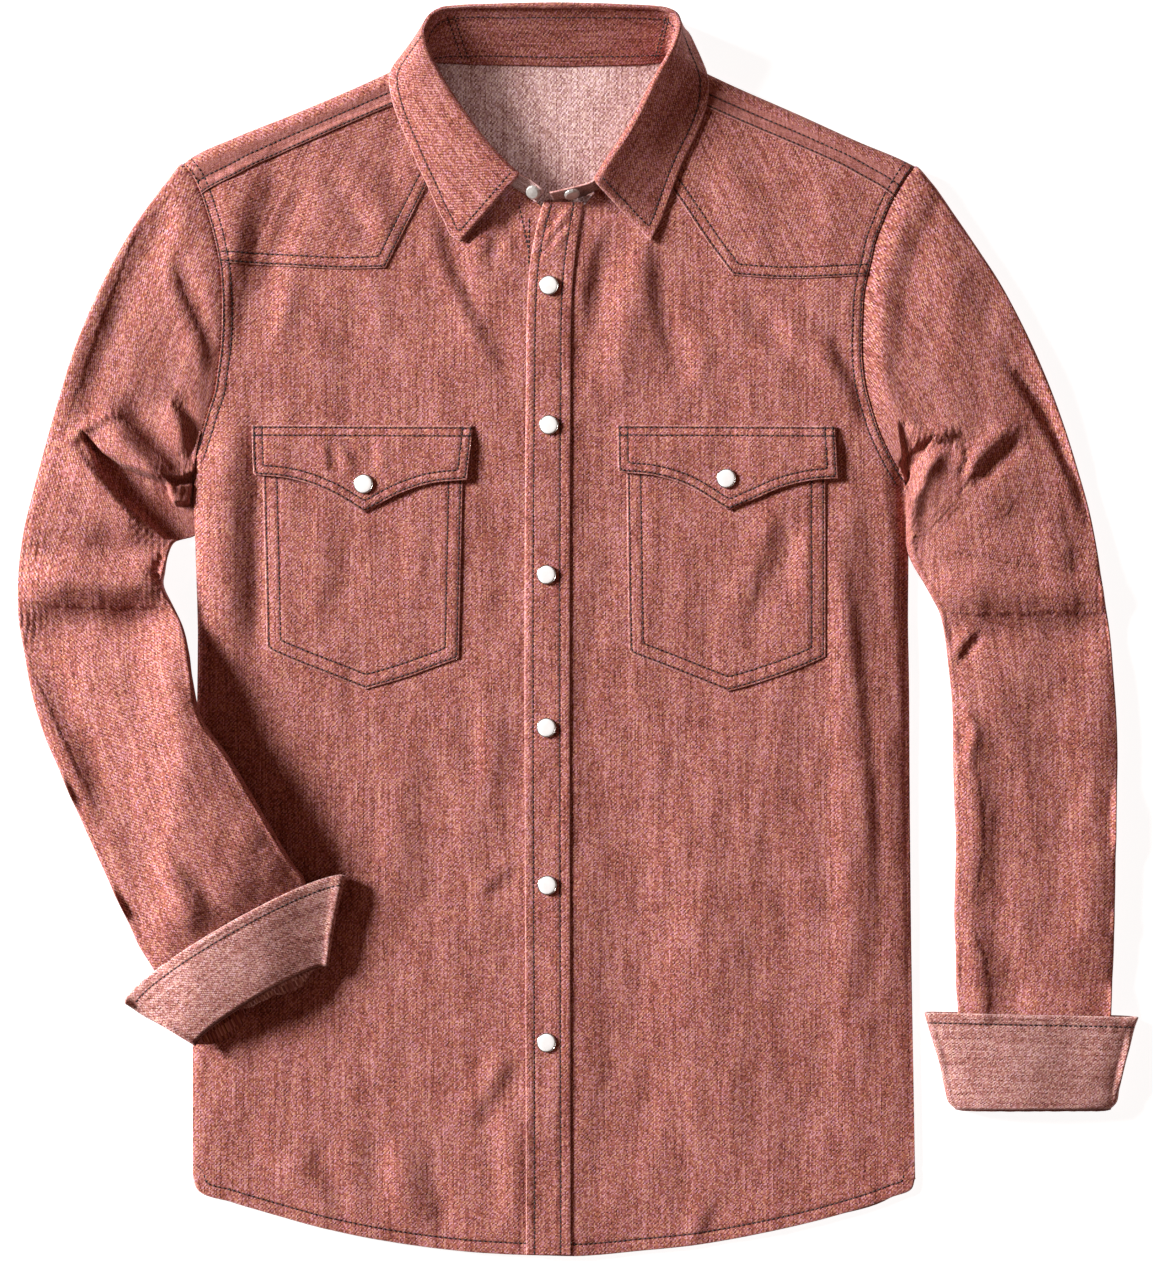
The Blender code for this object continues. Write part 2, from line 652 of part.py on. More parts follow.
# ---------------------------------------------------------------- fronts
def neck_edge(first, last):
    """Neckline under the stand, moved in a little so that the stand's seam stands on cloth."""
    points = []
    for row in STAND[first:last]:
        dx, dy = NECK_CENTRE[0] - row.sx, NECK_CENTRE[1] - row.sy
        share = NECK_TUCK / math.hypot(dx, dy)
        points.append((row.sx + share * dx, row.sy + share * dy))
    return points


def top_seam(rows):
    """Upper edge of a front, tucked under the back yoke's seam."""
    return [(row.x, row.seam + SEAM_TUCK) for row in rows]


def make_fronts():
    hem = [(p.x, p.y) for p in HEM]
    side_left = [(row.left, row.y) for row in SIDES if -300 <= row.y <= 85]
    side_right = [(row.right, row.y) for row in SIDES if -300 <= row.y <= 85]
    hole_left = hole_edge(ARMHOLE_LEFT, 112, 283.5)
    hole_right = hole_edge(ARMHOLE_RIGHT, 97, 281.5)

    hem_under = [p for p in hem if p[0] < UNDER_EDGE_X] + [(UNDER_EDGE_X, -396.4)]
    under = patch(
        edge(hem_under),
        edge(hole_left[-1:] + top_seam(SHOULDER_LEFT[1:4]) + [(-91, 348.5)]),
        edge(hem_under[:1] + side_left + hole_left),
        edge([hem_under[-1], (UNDER_EDGE_X, 200), (-12, 262)] + neck_edge(0, 8)
             + [(-91, 348.5)]))
    panel("front_under", 18, 32, under, front_top)

    over_edge = [(row.left + 0.7, row.y) for row in PLACKET]
    hem_over = [(OVER_EDGE_X, -395.9)] + [p for p in hem if p[0] > OVER_EDGE_X]
    over = patch(
        edge(hem_over),
        edge([(53, 347.5)] + top_seam(SHOULDER_RIGHT[1:4]) + hole_right[-1:]),
        edge(over_edge[::-1] + [(4, 270.5)] + neck_edge(21, 26)[::-1] + [(53, 347.5)]),
        edge(hem_over[-1:] + side_right + hole_right))
    panel("front_over", 18, 32, over, over_top)


def make_front_yokes():
    def height(x, y):
        return front_top(x, y) + LAYER + EASE

    hole_left = hole_edge(ARMHOLE_LEFT, 234, 283.5)
    left = patch(
        edge(hole_left[:1] + [(p.x, p.y) for p in YOKE_EDGE_LEFT[1:3]]),
        edge(hole_left[-1:] + top_seam(SHOULDER_LEFT[1:4]) + [(-93, 347)]),
        edge(hole_left),
        edge([(p.x, p.y) for p in YOKE_EDGE_LEFT[2:]] + [(-79, 328), (-87, 340.5), (-93, 347)]))
    panel("yoke_front_left", 10, 8, left, height)

    hole_right = hole_edge(ARMHOLE_RIGHT, 226, 281.5)
    right = patch(
        edge([(p.x, p.y) for p in YOKE_EDGE_RIGHT[2:0:-1]] + hole_right[:1]),
        edge([(55, 346)] + top_seam(SHOULDER_RIGHT[1:4]) + hole_right[-1:]),
        edge([(p.x, p.y) for p in YOKE_EDGE_RIGHT[2:]] + [(42, 325), (51, 339), (55, 346)]),
        edge(hole_right))
    panel("yoke_front_right", 10, 8, right, height)


def make_placket():
    left = [(row.left, row.y) for row in PLACKET][::-1]
    right = [(row.right, row.y) for row in PLACKET][::-1]
    plan = patch(edge([left[0], right[0]]), edge([left[-1], right[-1]]), edge(left), edge(right))
    panel("placket", 2, 34, plan, lambda x, y: over_top(x, y) + LAYER + EASE / 2)


# ---------------------------------------------------------------- pockets and flaps
def outline_patch(points, corner_left, corner_right):
    """Plan of a pocket from its outline, given its two lower corners' places in the list."""
    points = [(p.x, p.y) for p in points]
    return patch(
        edge(points[corner_left:corner_right + 1]),
        edge([points[0], points[-1]]),
        edge(points[corner_left::-1]),
        edge(points[corner_right:]))


def make_pockets():
    def pocket_height(x, y):
        return side_top(x, y) + LAYER + EASE

    def flap_height(x, y):
        step = LAYER + EASE
        return pocket_height(x, y) + step * ease((FLAP_TOP_Y - 3 - y) / 7)

    panel("pocket_left", 8, 9, outline_patch(POCKET_LEFT, 2, 8), pocket_height)
    panel("pocket_right", 8, 9, outline_patch(POCKET_RIGHT, 2, 8), pocket_height)
    panel("flap_left", 10, 5, outline_patch(FLAP_LEFT, 2, 9), flap_height)
    panel("flap_right", 10, 5, outline_patch(FLAP_RIGHT, 2, 10), flap_height)
    return flap_height


# ---------------------------------------------------------------- sleeves and cuffs
def body_under_sleeve(x, y):
    """Lift of the left sleeve: onto the front, with a ramp outside the body's edge."""
    on_body = ease((x - RAMP_START_X) / RAMP_WIDTH) * ease((RAMP_TOP_Y - y) / RAMP_LENGTH)
    return (read(LOFT, "y", "height", y) + OVER_BODY) * on_body


def flat_floor(x, y):
    return 0.0


def tube(name, rings, floor, folds, up_side, armhole=None, colour=RUST, fullness=SLEEVE_CROWN):
    """A flattened tube of cloth: flat below, domed above, from rings across its length."""
    around = len(RING_TOP) + len(RING_BOTTOM) + 2
    hole = edge([(p.x, p.y) for p in armhole]) if armhole else None

    def bow_at(ring, index, share):
        """How far the ring leaves the straight line between its edges."""
        dx, dy = ring.ix - ring.ox, ring.iy - ring.oy
        length = math.hypot(dx, dy)
        bow = ring.bow * math.sqrt(4 * share * (1 - share))
        off_x, off_y = -dy / length * bow * up_side, dx / length * bow * up_side
        if hole:
            first, last = hole(0), hole(1)
            weight = max(0.0, 1 - index / 5) ** 1.5
            spot = hole(share)
            off_x += weight * (spot[0] - mix(first[0], last[0], share))
            off_y += weight * (spot[1] - mix(first[1], last[1], share))
        return off_x, off_y

    def across(ring, index, share, sink):
        """Plan point at a share of the width, and its height when on the tube's top."""
        off_x, off_y = bow_at(ring, index, share)
        x = mix(ring.ox, ring.ix, share) + off_x
        y = mix(ring.oy, ring.iy, share) + off_y
        crown = (4 * share * (1 - share)) ** fullness
        middle = TUBE_EDGE * ring.height
        crease = relief(folds, x, y) * ease(2 * crown - 0.6)
        top = middle + (ring.height - middle) * crown + crease
        low = floor(x, y) + ring.lift
        return x, y, low, low + middle, low + top - sink

    def place(i, j):
        ring = rings[j]
        inset_share = CLOTH / math.dist((ring.ox, ring.oy), (ring.ix, ring.iy))

        def point(wall):
            tuck = inset_share * wall
            if i == 0 or i == len(RING_TOP) + 1:
                share = 0.0 if i == 0 else 1.0
                x, y, low, middle, top = across(ring, j, share, 0)
                aside = tuck if i == 0 else -tuck
                return (x + aside * (ring.ix - ring.ox), y + aside * (ring.iy - ring.oy), middle)
            on_top = i <= len(RING_TOP)
            share = RING_TOP[i - 1] if on_top else RING_BOTTOM[i - len(RING_TOP) - 2]
            share = mix(tuck, 1 - tuck, share)
            x, y, low, middle, top = across(ring, j, share, CLOTH * wall)
            return (x, y, top) if on_top else (x, y, low + CLOTH * wall)
        return point(0), point(1)

    cloth(name, around, len(rings) - 1, place, colour, ring=True)


def make_sleeves():
    tube("sleeve_left", SLEEVE_LEFT, body_under_sleeve, SLEEVE_LEFT_FOLDS, 1, ARMHOLE_LEFT)
    tube("sleeve_right", SLEEVE_RIGHT, flat_floor, SLEEVE_RIGHT_FOLDS, -1, ARMHOLE_RIGHT)
    tube("cuff_left", CUFF_LEFT, body_under_sleeve, [], 1, None, RUST_REVERSE, CUFF_CROWN)
    tube("cuff_right", CUFF_RIGHT, flat_floor, [], -1, None, RUST_REVERSE, CUFF_CROWN)


# ---------------------------------------------------------------- collar
def make_stand():
    """The stand leans in over the fronts and leans out behind the neck."""
    grid = []
    for level in (0.0, 0.5, 1.0):
        line = []
        for row in STAND:
            seam = Vector((row.sx, row.sy, rest_height(row.sx, row.sy) + 3 * GAP))
            if row.sy > 359 and -90 < row.sx < 54:
                seam.z = 2 * CLOTH + GAP
            line.append(seam.lerp(Vector((row.tx, row.ty, row.tz)), level))
        grid.append(line)
    offset_wall("collar_stand", grid, CLOTH)
    return grid


def make_leaf():
    """The leaf folds over the stand's top edge and lies out over the shoulders."""
    grid = [[] for _ in range(len(LEAF_ROLL) + len(LEAF_DROP))]
    for row in LEAF:
        out = Vector((row.fx - NECK_CENTRE[0], row.fy - NECK_CENTRE[1], 0)).normalized()
        fold = Vector((row.fx, row.fy, row.fz))
        for level, roll in enumerate(LEAF_ROLL):
            grid[level].append(fold + out * roll.out + Vector((0, 0, roll.up)))
        start = grid[len(LEAF_ROLL) - 1][-1]
        for level, share in enumerate(LEAF_DROP):
            x, y = mix(start.x, row.ex, share), mix(start.y, row.ey, share)
            rest = rest_height(x, y) + CLOTH + 1.0
            z = rest + (start.z - rest) * (1 - share) ** 1.7
            grid[len(LEAF_ROLL) + level].append(Vector((x, y, z)))
    offset_wall("collar_leaf", grid, CLOTH)


# ---------------------------------------------------------------- snaps
def snap_cap(radius, height):
    """Half section of a domed cap, from the middle of its flat back to its crown."""
    return [(0, 0), (radius, 0), (radius, 0.4 * height), (0.8 * radius, 0.8 * height),
            (0, height)]


def make_snaps(flap_height):
    seats = [(row.name, row.x, row.y, over_top(row.x, row.y) + LAYER + EASE / 2)
             for row in SNAPS]
    seats.append(("snap_flap_left", -136, 93.5, flap_height(-136, 93.5)))
    seats.append(("snap_flap_right", 94, 97, flap_height(94, 97)))
    for name, x, y, seat in seats:
        cap = snap_cap(SNAP_RADIUS, SNAP_HEIGHT)
        turned(name, cap, (x, y, seat + 2 * GAP), PEARL, 0.3, 0.0)


def make_collar_snaps(stand):
    """The collar's own snap, undone: its stud on one end of the stand, its cap on the other."""
    for name, station, radius, height in (
            ("snap_collar_stud", 0, STUD_RADIUS, STUD_HEIGHT),
            ("snap_collar_cap", 26, SNAP_RADIUS * 0.85, SNAP_HEIGHT)):
        corners = [stand[level][station + k] for level in (0, 2) for k in (0, 1)]
        middle = sum(corners, Vector()) / 4
        along = corners[1] - corners[0] + corners[3] - corners[2]
        rise = corners[2] - corners[0] + corners[3] - corners[1]
        face = along.cross(rise).normalized()
        turned(name, snap_cap(radius, height), middle - face * (CLOTH + 2 * GAP), STEEL, 0.35,
               0.9, lean=-face)


def start_clean():
    for old in list(bpy.data.objects):
        bpy.data.objects.remove(old, do_unlink=True)


start_clean()
make_back()
make_yoke_back()
make_fronts()
make_front_yokes()
make_placket()
make_snaps(make_pockets())
make_sleeves()
make_collar_snaps(make_stand())
make_leaf()
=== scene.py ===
"""Looks of a western snap shirt that lies open-necked on its back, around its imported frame.

X runs across the shirt, Y from its hem to its collar and Z up from the table. The numbers in
the tables are millimetres. Left and right are those of someone looking down on the shirt.
"""

import math

import bmesh
import bpy
import numpy as np
from mathutils import Matrix, Vector, kdtree, noise
from mathutils.bvhtree import BVHTree


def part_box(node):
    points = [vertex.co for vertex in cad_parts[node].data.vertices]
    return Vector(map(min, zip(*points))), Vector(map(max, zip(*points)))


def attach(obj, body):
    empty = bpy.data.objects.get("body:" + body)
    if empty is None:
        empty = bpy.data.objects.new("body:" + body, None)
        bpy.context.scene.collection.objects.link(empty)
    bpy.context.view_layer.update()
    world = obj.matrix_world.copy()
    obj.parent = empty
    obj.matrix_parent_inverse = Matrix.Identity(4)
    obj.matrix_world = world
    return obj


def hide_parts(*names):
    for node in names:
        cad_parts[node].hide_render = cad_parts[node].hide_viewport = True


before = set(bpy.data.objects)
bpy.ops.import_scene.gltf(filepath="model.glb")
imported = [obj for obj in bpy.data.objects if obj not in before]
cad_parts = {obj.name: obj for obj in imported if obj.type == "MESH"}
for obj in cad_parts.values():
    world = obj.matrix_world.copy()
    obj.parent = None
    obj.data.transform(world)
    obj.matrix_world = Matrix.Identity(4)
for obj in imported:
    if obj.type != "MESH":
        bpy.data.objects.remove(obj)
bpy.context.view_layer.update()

# ---------------------------------------------------------------- table, camera and lamps
# The shirt lies on a plain white table. The camera looks straight down through a long lens,
# a broad soft lamp stands low to the left, a small one opens up the inside of the neck, and
# the warm walls of the room fill the shadows.
MM = 0.001
ABOVE = 0.1                         # metres, well clear of the shirt
VIEW_MIDDLE = (-0.95, -1.6, 8.0)
VIEW_HALF_HEIGHT = 402.6
LENS, SENSOR = 150.0, 36.0
TABLE_HALF_WIDTH, TABLE_TOP = 3000.0, -0.3
LAMP_PLACE = (-6600.0, 2450.0, 2900.0)
LAMP_WIDTH, LAMP_POWER = 2000.0, 1640.0
NECK_LAMP_PLACE, NECK_LAMP_AIM = (250.0, 600.0, 1500.0), (-24.0, 332.0, 2.0)
NECK_LAMP_POWER, NECK_LAMP_CONE, NECK_LAMP_SIZE = 56.0, 5.2, 60.0
ROOM_LIGHT, ROOM_COLOUR = 0.16, (1.0, 0.52, 0.36, 1.0)
TABLE_GLOW = 0.92                   # the table is lit a little from below, as in a light booth

eye = bpy.data.cameras.new("eye")
eye.lens, eye.sensor_width, eye.sensor_fit = LENS, SENSOR, "AUTO"
eye.clip_end = 20.0
camera = bpy.data.objects.new("camera", eye)
view_distance = VIEW_HALF_HEIGHT * LENS / (SENSOR / 2)
camera.location = Vector(VIEW_MIDDLE) * MM + Vector((0, 0, view_distance * MM))
bpy.context.scene.collection.objects.link(camera)
bpy.context.scene.camera = camera
bpy.context.scene.view_settings.view_transform = "Standard"

soft_lamp = bpy.data.lights.new("window_lamp", "AREA")
soft_lamp.shape, soft_lamp.size = "SQUARE", LAMP_WIDTH * MM
soft_lamp.energy = LAMP_POWER
lamp = bpy.data.objects.new("window_lamp", soft_lamp)
lamp.location = Vector(LAMP_PLACE) * MM
lamp.rotation_euler = (-lamp.location).to_track_quat("-Z", "Y").to_euler()
bpy.context.scene.collection.objects.link(lamp)

neck_spot = bpy.data.lights.new("neck_lamp", "SPOT")
neck_spot.energy, neck_spot.shadow_soft_size = NECK_LAMP_POWER, NECK_LAMP_SIZE * MM
neck_spot.spot_size, neck_spot.spot_blend = math.radians(NECK_LAMP_CONE), 1.0
neck_lamp = bpy.data.objects.new("neck_lamp", neck_spot)
neck_lamp.location = Vector(NECK_LAMP_PLACE) * MM
neck_way = Vector(NECK_LAMP_AIM) - Vector(NECK_LAMP_PLACE)
neck_lamp.rotation_euler = neck_way.to_track_quat("-Z", "Y").to_euler()
bpy.context.scene.collection.objects.link(neck_lamp)

room = bpy.data.worlds.new("warm_room")
room.use_nodes = True
room.node_tree.nodes["Background"].inputs["Color"].default_value = ROOM_COLOUR
room.node_tree.nodes["Background"].inputs["Strength"].default_value = ROOM_LIGHT
bpy.context.scene.world = room


def link_mesh(name, bm, *materials):
    """The mesh as an object of the scene, smooth all over."""
    mesh = bpy.data.meshes.new(name)
    for face in bm.faces:
        face.smooth = True
    bm.to_mesh(mesh)
    bm.free()
    for material in materials:
        mesh.materials.append(material)
    piece = bpy.data.objects.new(name, mesh)
    bpy.context.scene.collection.objects.link(piece)
    return piece


def wired(tree, kind, sources=None, **settings):
    """A shader node: its inputs are other nodes' outputs or plain values."""
    made = tree.nodes.new("ShaderNode" + kind)
    for name, value in settings.items():
        setattr(made, name, value)
    for name, source in (sources or {}).items():
        if isinstance(source, bpy.types.NodeSocket):
            tree.links.new(source, made.inputs[name])
        else:
            made.inputs[name].default_value = source
    return made


def start_material(name, roughness, metallic=0.0):
    """A material, the tree that its nodes go in, and its shader."""
    material = bpy.data.materials.new(name)
    material.use_nodes = True
    shader = material.node_tree.nodes["Principled BSDF"]
    shader.inputs["Roughness"].default_value = roughness
    shader.inputs["Metallic"].default_value = metallic
    return material, material.node_tree, shader


white_paint, tree, shader = start_material("white_table", 0.7)
mottle = wired(tree, "TexNoise", {"Vector": wired(tree, "TexCoord").outputs["Object"],
                                  "Scale": 6.0})
tint = wired(tree, "MapRange", {"Value": mottle.outputs[0], "To Min": 0.33, "To Max": 0.37})
tree.links.new(tint.outputs[0], shader.inputs["Base Color"])
shader.inputs["Emission Color"].default_value = (1.0, 1.0, 1.0, 1.0)
shader.inputs["Emission Strength"].default_value = TABLE_GLOW
bm = bmesh.new()
bmesh.ops.create_grid(bm, x_segments=2, y_segments=2, size=TABLE_HALF_WIDTH * MM)
bmesh.ops.translate(bm, verts=bm.verts[:], vec=(0, 0, TABLE_TOP * MM))
link_mesh("table", bm, white_paint)

# ---------------------------------------------------------------- back
# One flat panel of yarn-dyed cotton twill, from the hem up to the yoke seam, face down. The
# fronts cover it, so only its outside shows, from below. Its hem is turned up and stitched.
BACK_TOP = 239.7
BACK_INSET = 2.5                    # the armhole's seam turns in under the fronts
CLOTH = 1.1                         # wall of the twill
HEM_DEPTH = 7.5
GAP = 0.1                           # between the table and the cloth that lies on it
FAR = 12.0                          # cloth this far from a rim or a row gets none of its wear, painted highlight or painted shade

SIDES = np.array([                  # y, left edge, right edge
    (-400, -245.0, 214.5), (-347, -245.0, 214.5), (-262, -245.0, 213.0), (-200, -244.5, 212.0),
    (-100, -243.0, 211.0), (-25, -242.0, 210.5), (0, -241.8, 210.0), (60, -243.5, 210.0),
    (85, -244.0, 209.0), (112, -244.2, 207.0), (200, -247.0, 206.0), (310, -285.0, 250.0)])
HEM = [(-245, -347), (-243, -353.5), (-220, -363), (-200, -369), (-160, -380), (-120, -388),
       (-80, -393.5), (-40, -396.3), (0, -397), (40, -393.8), (80, -389.5), (120, -382),
       (160, -372.5), (200, -359.5), (212.5, -354), (214.5, -348)]
ARMHOLE_LEFT = [
    (-251.5, 297), (-245, 289), (-241, 281), (-237, 270), (-233, 257), (-230, 245),
    (-228, 235), (-226.5, 220), (-226, 200), (-227, 180), (-229, 165), (-231, 152),
    (-235, 140), (-238, 130), (-241, 120), (-243.8, 112)]
ARMHOLE_RIGHT = [
    (214.5, 295.5), (209, 289), (204, 281), (198, 270), (193, 258), (189, 247), (186, 233),
    (184, 225), (182, 215), (181, 200), (181, 170), (183, 155), (185, 147), (188, 137),
    (191, 128), (196, 117), (200, 109), (204, 102), (207.5, 97)]


def through(points, corners=()):
    """A smooth line through points, at shares of its length; it keeps the given corners."""
    points = np.array(points, float)
    steps = np.linalg.norm(np.diff(points[:, :2], axis=0), axis=1)
    reached = np.concatenate([[0.0], np.cumsum(steps)])
    chords = np.diff(points, axis=0) / steps[:, None]
    weights = steps[:-1, None] + steps[1:, None]
    bends = (chords[:-1] * steps[1:, None] + chords[1:] * steps[:-1, None]) / weights
    leaving, arriving = np.vstack([chords[:1], bends]), np.vstack([bends, chords[-1:]])
    for k in corners:
        leaving[k], arriving[k - 1] = chords[k], chords[k - 1]

    def at(shares):
        want = np.asarray(shares, float) * reached[-1]
        k = np.clip(np.searchsorted(reached, want, side="right") - 1, 0, len(steps) - 1)
        t = ((want - reached[k]) / steps[k])[..., None]
        size = steps[k][..., None]
        return ((2 * t ** 3 - 3 * t ** 2 + 1) * points[k] + (t ** 3 - 2 * t ** 2 + t) * size
                * leaving[k] + (3 * t ** 2 - 2 * t ** 3) * points[k + 1]
                + (t ** 3 - t ** 2) * size * arriving[k])
    at.length = reached[-1]
    at.corners = reached[list(corners)] / reached[-1]
    return at


def drawn(line, step=0.6):
    """Points along a line, a step apart."""
    return line(np.linspace(0, 1, max(2, round(line.length / step) + 1)))


def patch(bottom, top, left, right, across, up):
    """Plan of a panel between four edge lines, at shares across and up."""
    u, v = (grid[..., None] for grid in np.meshgrid(across, up))
    low, high, start, end = bottom(across), top(across), left(up), right(up)
    sides = start[:, None] * (1 - u) + end[:, None] * u
    corners = (low[0] * (1 - u) + low[-1] * u) * (1 - v) + (high[0] * (1 - u) + high[-1] * u) * v
    return low[None] * (1 - v) + high[None] * v + sides - corners


def spaced(length, step, rows=(), stops=()):
    """Shares across a panel: close together by its edges and at its rows of stitching, a step
    apart between them."""
    near = {0, 0.35, 0.8, *rows, *(row + 0.9 for row in rows), *(row - 0.9 for row in rows[-1:])}
    near = sorted(near | {max(rows, default=1.6) + 2.5})
    for gap in [(a, b) for a, b in zip(near, near[1:]) if b - a > 2.2]:
        near += list(np.linspace(*gap, 2 + round((gap[1] - gap[0]) / 1.8))[1:-1])
    near = np.array(sorted(near)) / length
    count = max(2, round((1 - 2 * near[-1]) * length / step) + 1)
    middle = np.linspace(near[-1], 1 - near[-1], count)
    found = np.concatenate([near, middle[1:-1], 1 - near[::-1]])
    for stop in stops:
        found[1 + np.argmin(abs(found[1:-1] - stop))] = stop
    return found


def armhole_part(rows, low, high, inward=0.5):
    """Points of an armhole's line between two heights, upwards, moved in to the body."""
    rows = np.array(rows)[::-1]
    heights = [low, *(y for y in rows[:, 1] if low < y < high), high]
    inward = inward if rows[0, 0] < 0 else -inward
    return [(np.interp(y, rows[:, 1], rows[:, 0]) + inward, y) for y in heights]


def side_part(column, low, high):
    """Points of the left (1) or the right (2) side edge between two heights."""
    return [(row[column], row[0]) for row in SIDES if low <= row[0] <= high]


def run_along(points):
    """How far along a line each of its points is."""
    return np.concatenate([[0.0], np.cumsum(np.linalg.norm(np.diff(points, axis=0), axis=1))])


def beside(line, x, y):
    """How far each point lies from a line of points, and how far along it."""
    tree = kdtree.KDTree(len(line))
    for k, point in enumerate(line):
        tree.insert((point[0], point[1], 0), k)
    tree.balance()
    run = run_along(line[:, :2])
    found = [tree.find((a, b, 0)) for a, b in zip(x.flat, y.flat)]
    away = np.array([item[2] for item in found]).reshape(x.shape)
    return away, run[[item[1] for item in found]].reshape(x.shape)


def ripple(x, y, wide, long, seed):
    """Uneven swells about wide by long mm, between -1 and 1."""
    spots = zip(np.ravel(x) / wide, np.ravel(y) / long)
    return 1.6 * np.array([noise.noise((a, b, seed)) for a, b in spots]).reshape(np.shape(x))


def softly(share):
    """A share from 0 to 1, eased in and out."""
    share = np.clip(share, 0, 1)
    return share * share * (3 - 2 * share)


def cut_cloth(name, points, grain, edges, face, lining, wall=CLOTH, ring=False):
    """A piece of cloth over a grid of points. Grain is the same grid laid flat, which the yarns
    follow; edges are the lines along which its rim is paled, partly as wear and partly as a
    painted highlight, each with the distances of its rows of stitching, along which painted shade
    darkens it.
    The wall grows to the grid's underside."""
    rows, columns = points.shape[0] - 1, points.shape[1] - 1
    rim, row = np.full(points.shape[:2], FAR), np.full(points.shape[:2], FAR)
    for line, distances in edges:
        away = beside(line, points[..., 0], points[..., 1])[0]
        rim = np.minimum(rim, away)
        for distance in distances:
            row = np.minimum(row, abs(away - distance))
    bm = bmesh.new()
    bmesh.ops.create_grid(bm, x_segments=columns, y_segments=rows, size=1)
    grain_map, rim_layer = bm.loops.layers.uv.new("grain"), bm.verts.layers.float.new("rim")
    row_layer = bm.verts.layers.float.new("row")
    laid_flat = grain.reshape(-1, 2) * MM
    for face_made in bm.faces:
        for loop in face_made.loops:
            loop[grain_map].uv = laid_flat[loop.vert.index]
    places = points.reshape(-1, 3) * MM
    for vert, place, to_rim, to_row in zip(bm.verts, places, rim.flat, row.flat):
        vert.co = place
        vert[rim_layer], vert[row_layer] = to_rim, to_row
    if ring:
        bm.verts.ensure_lookup_table()
        ends = {bm.verts[(j + 1) * (columns + 1) - 1]: bm.verts[j * (columns + 1)]
                for j in range(rows + 1)}
        bmesh.ops.weld_verts(bm, targetmap=ends)
        bmesh.ops.recalc_face_normals(bm, faces=bm.faces[:])
        if max(bm.faces, key=lambda f: f.calc_center_median().z).normal.z < 0:
            bmesh.ops.reverse_faces(bm, faces=bm.faces[:])
    surface = BVHTree.FromBMesh(bm)
    piece = link_mesh(name, bm, face, lining)
    shell = piece.modifiers.new("wall", "SOLIDIFY")
    shell.thickness, shell.offset = wall * MM, -1.0
    shell.material_offset, shell.material_offset_rim = 1, 0
    return piece, surface


def declare(piece, grain, with_pieces=(), area=None):
    """The piece and the pieces with it ride on the shirt. The size of its grain laid flat is
    worked out but not used.
    """
    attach(piece, "root")
    for other in with_pieces:
        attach(other, "root")
    width, length = np.ptp(grain[..., 0]) * MM, np.ptp(grain[..., 1]) * MM
    a, b = grain[1:, 1:] - grain[:-1, :-1], grain[1:, :-1] - grain[:-1, 1:]
    area = area or abs(a[..., 0] * b[..., 1] - a[..., 1] * b[..., 0]).sum() / 2 * MM ** 2
    min(area, width * length)


WARP_PITCH, TWILL_PITCH = 0.78, 2.4  # a pair of warp yarns across, and one float along


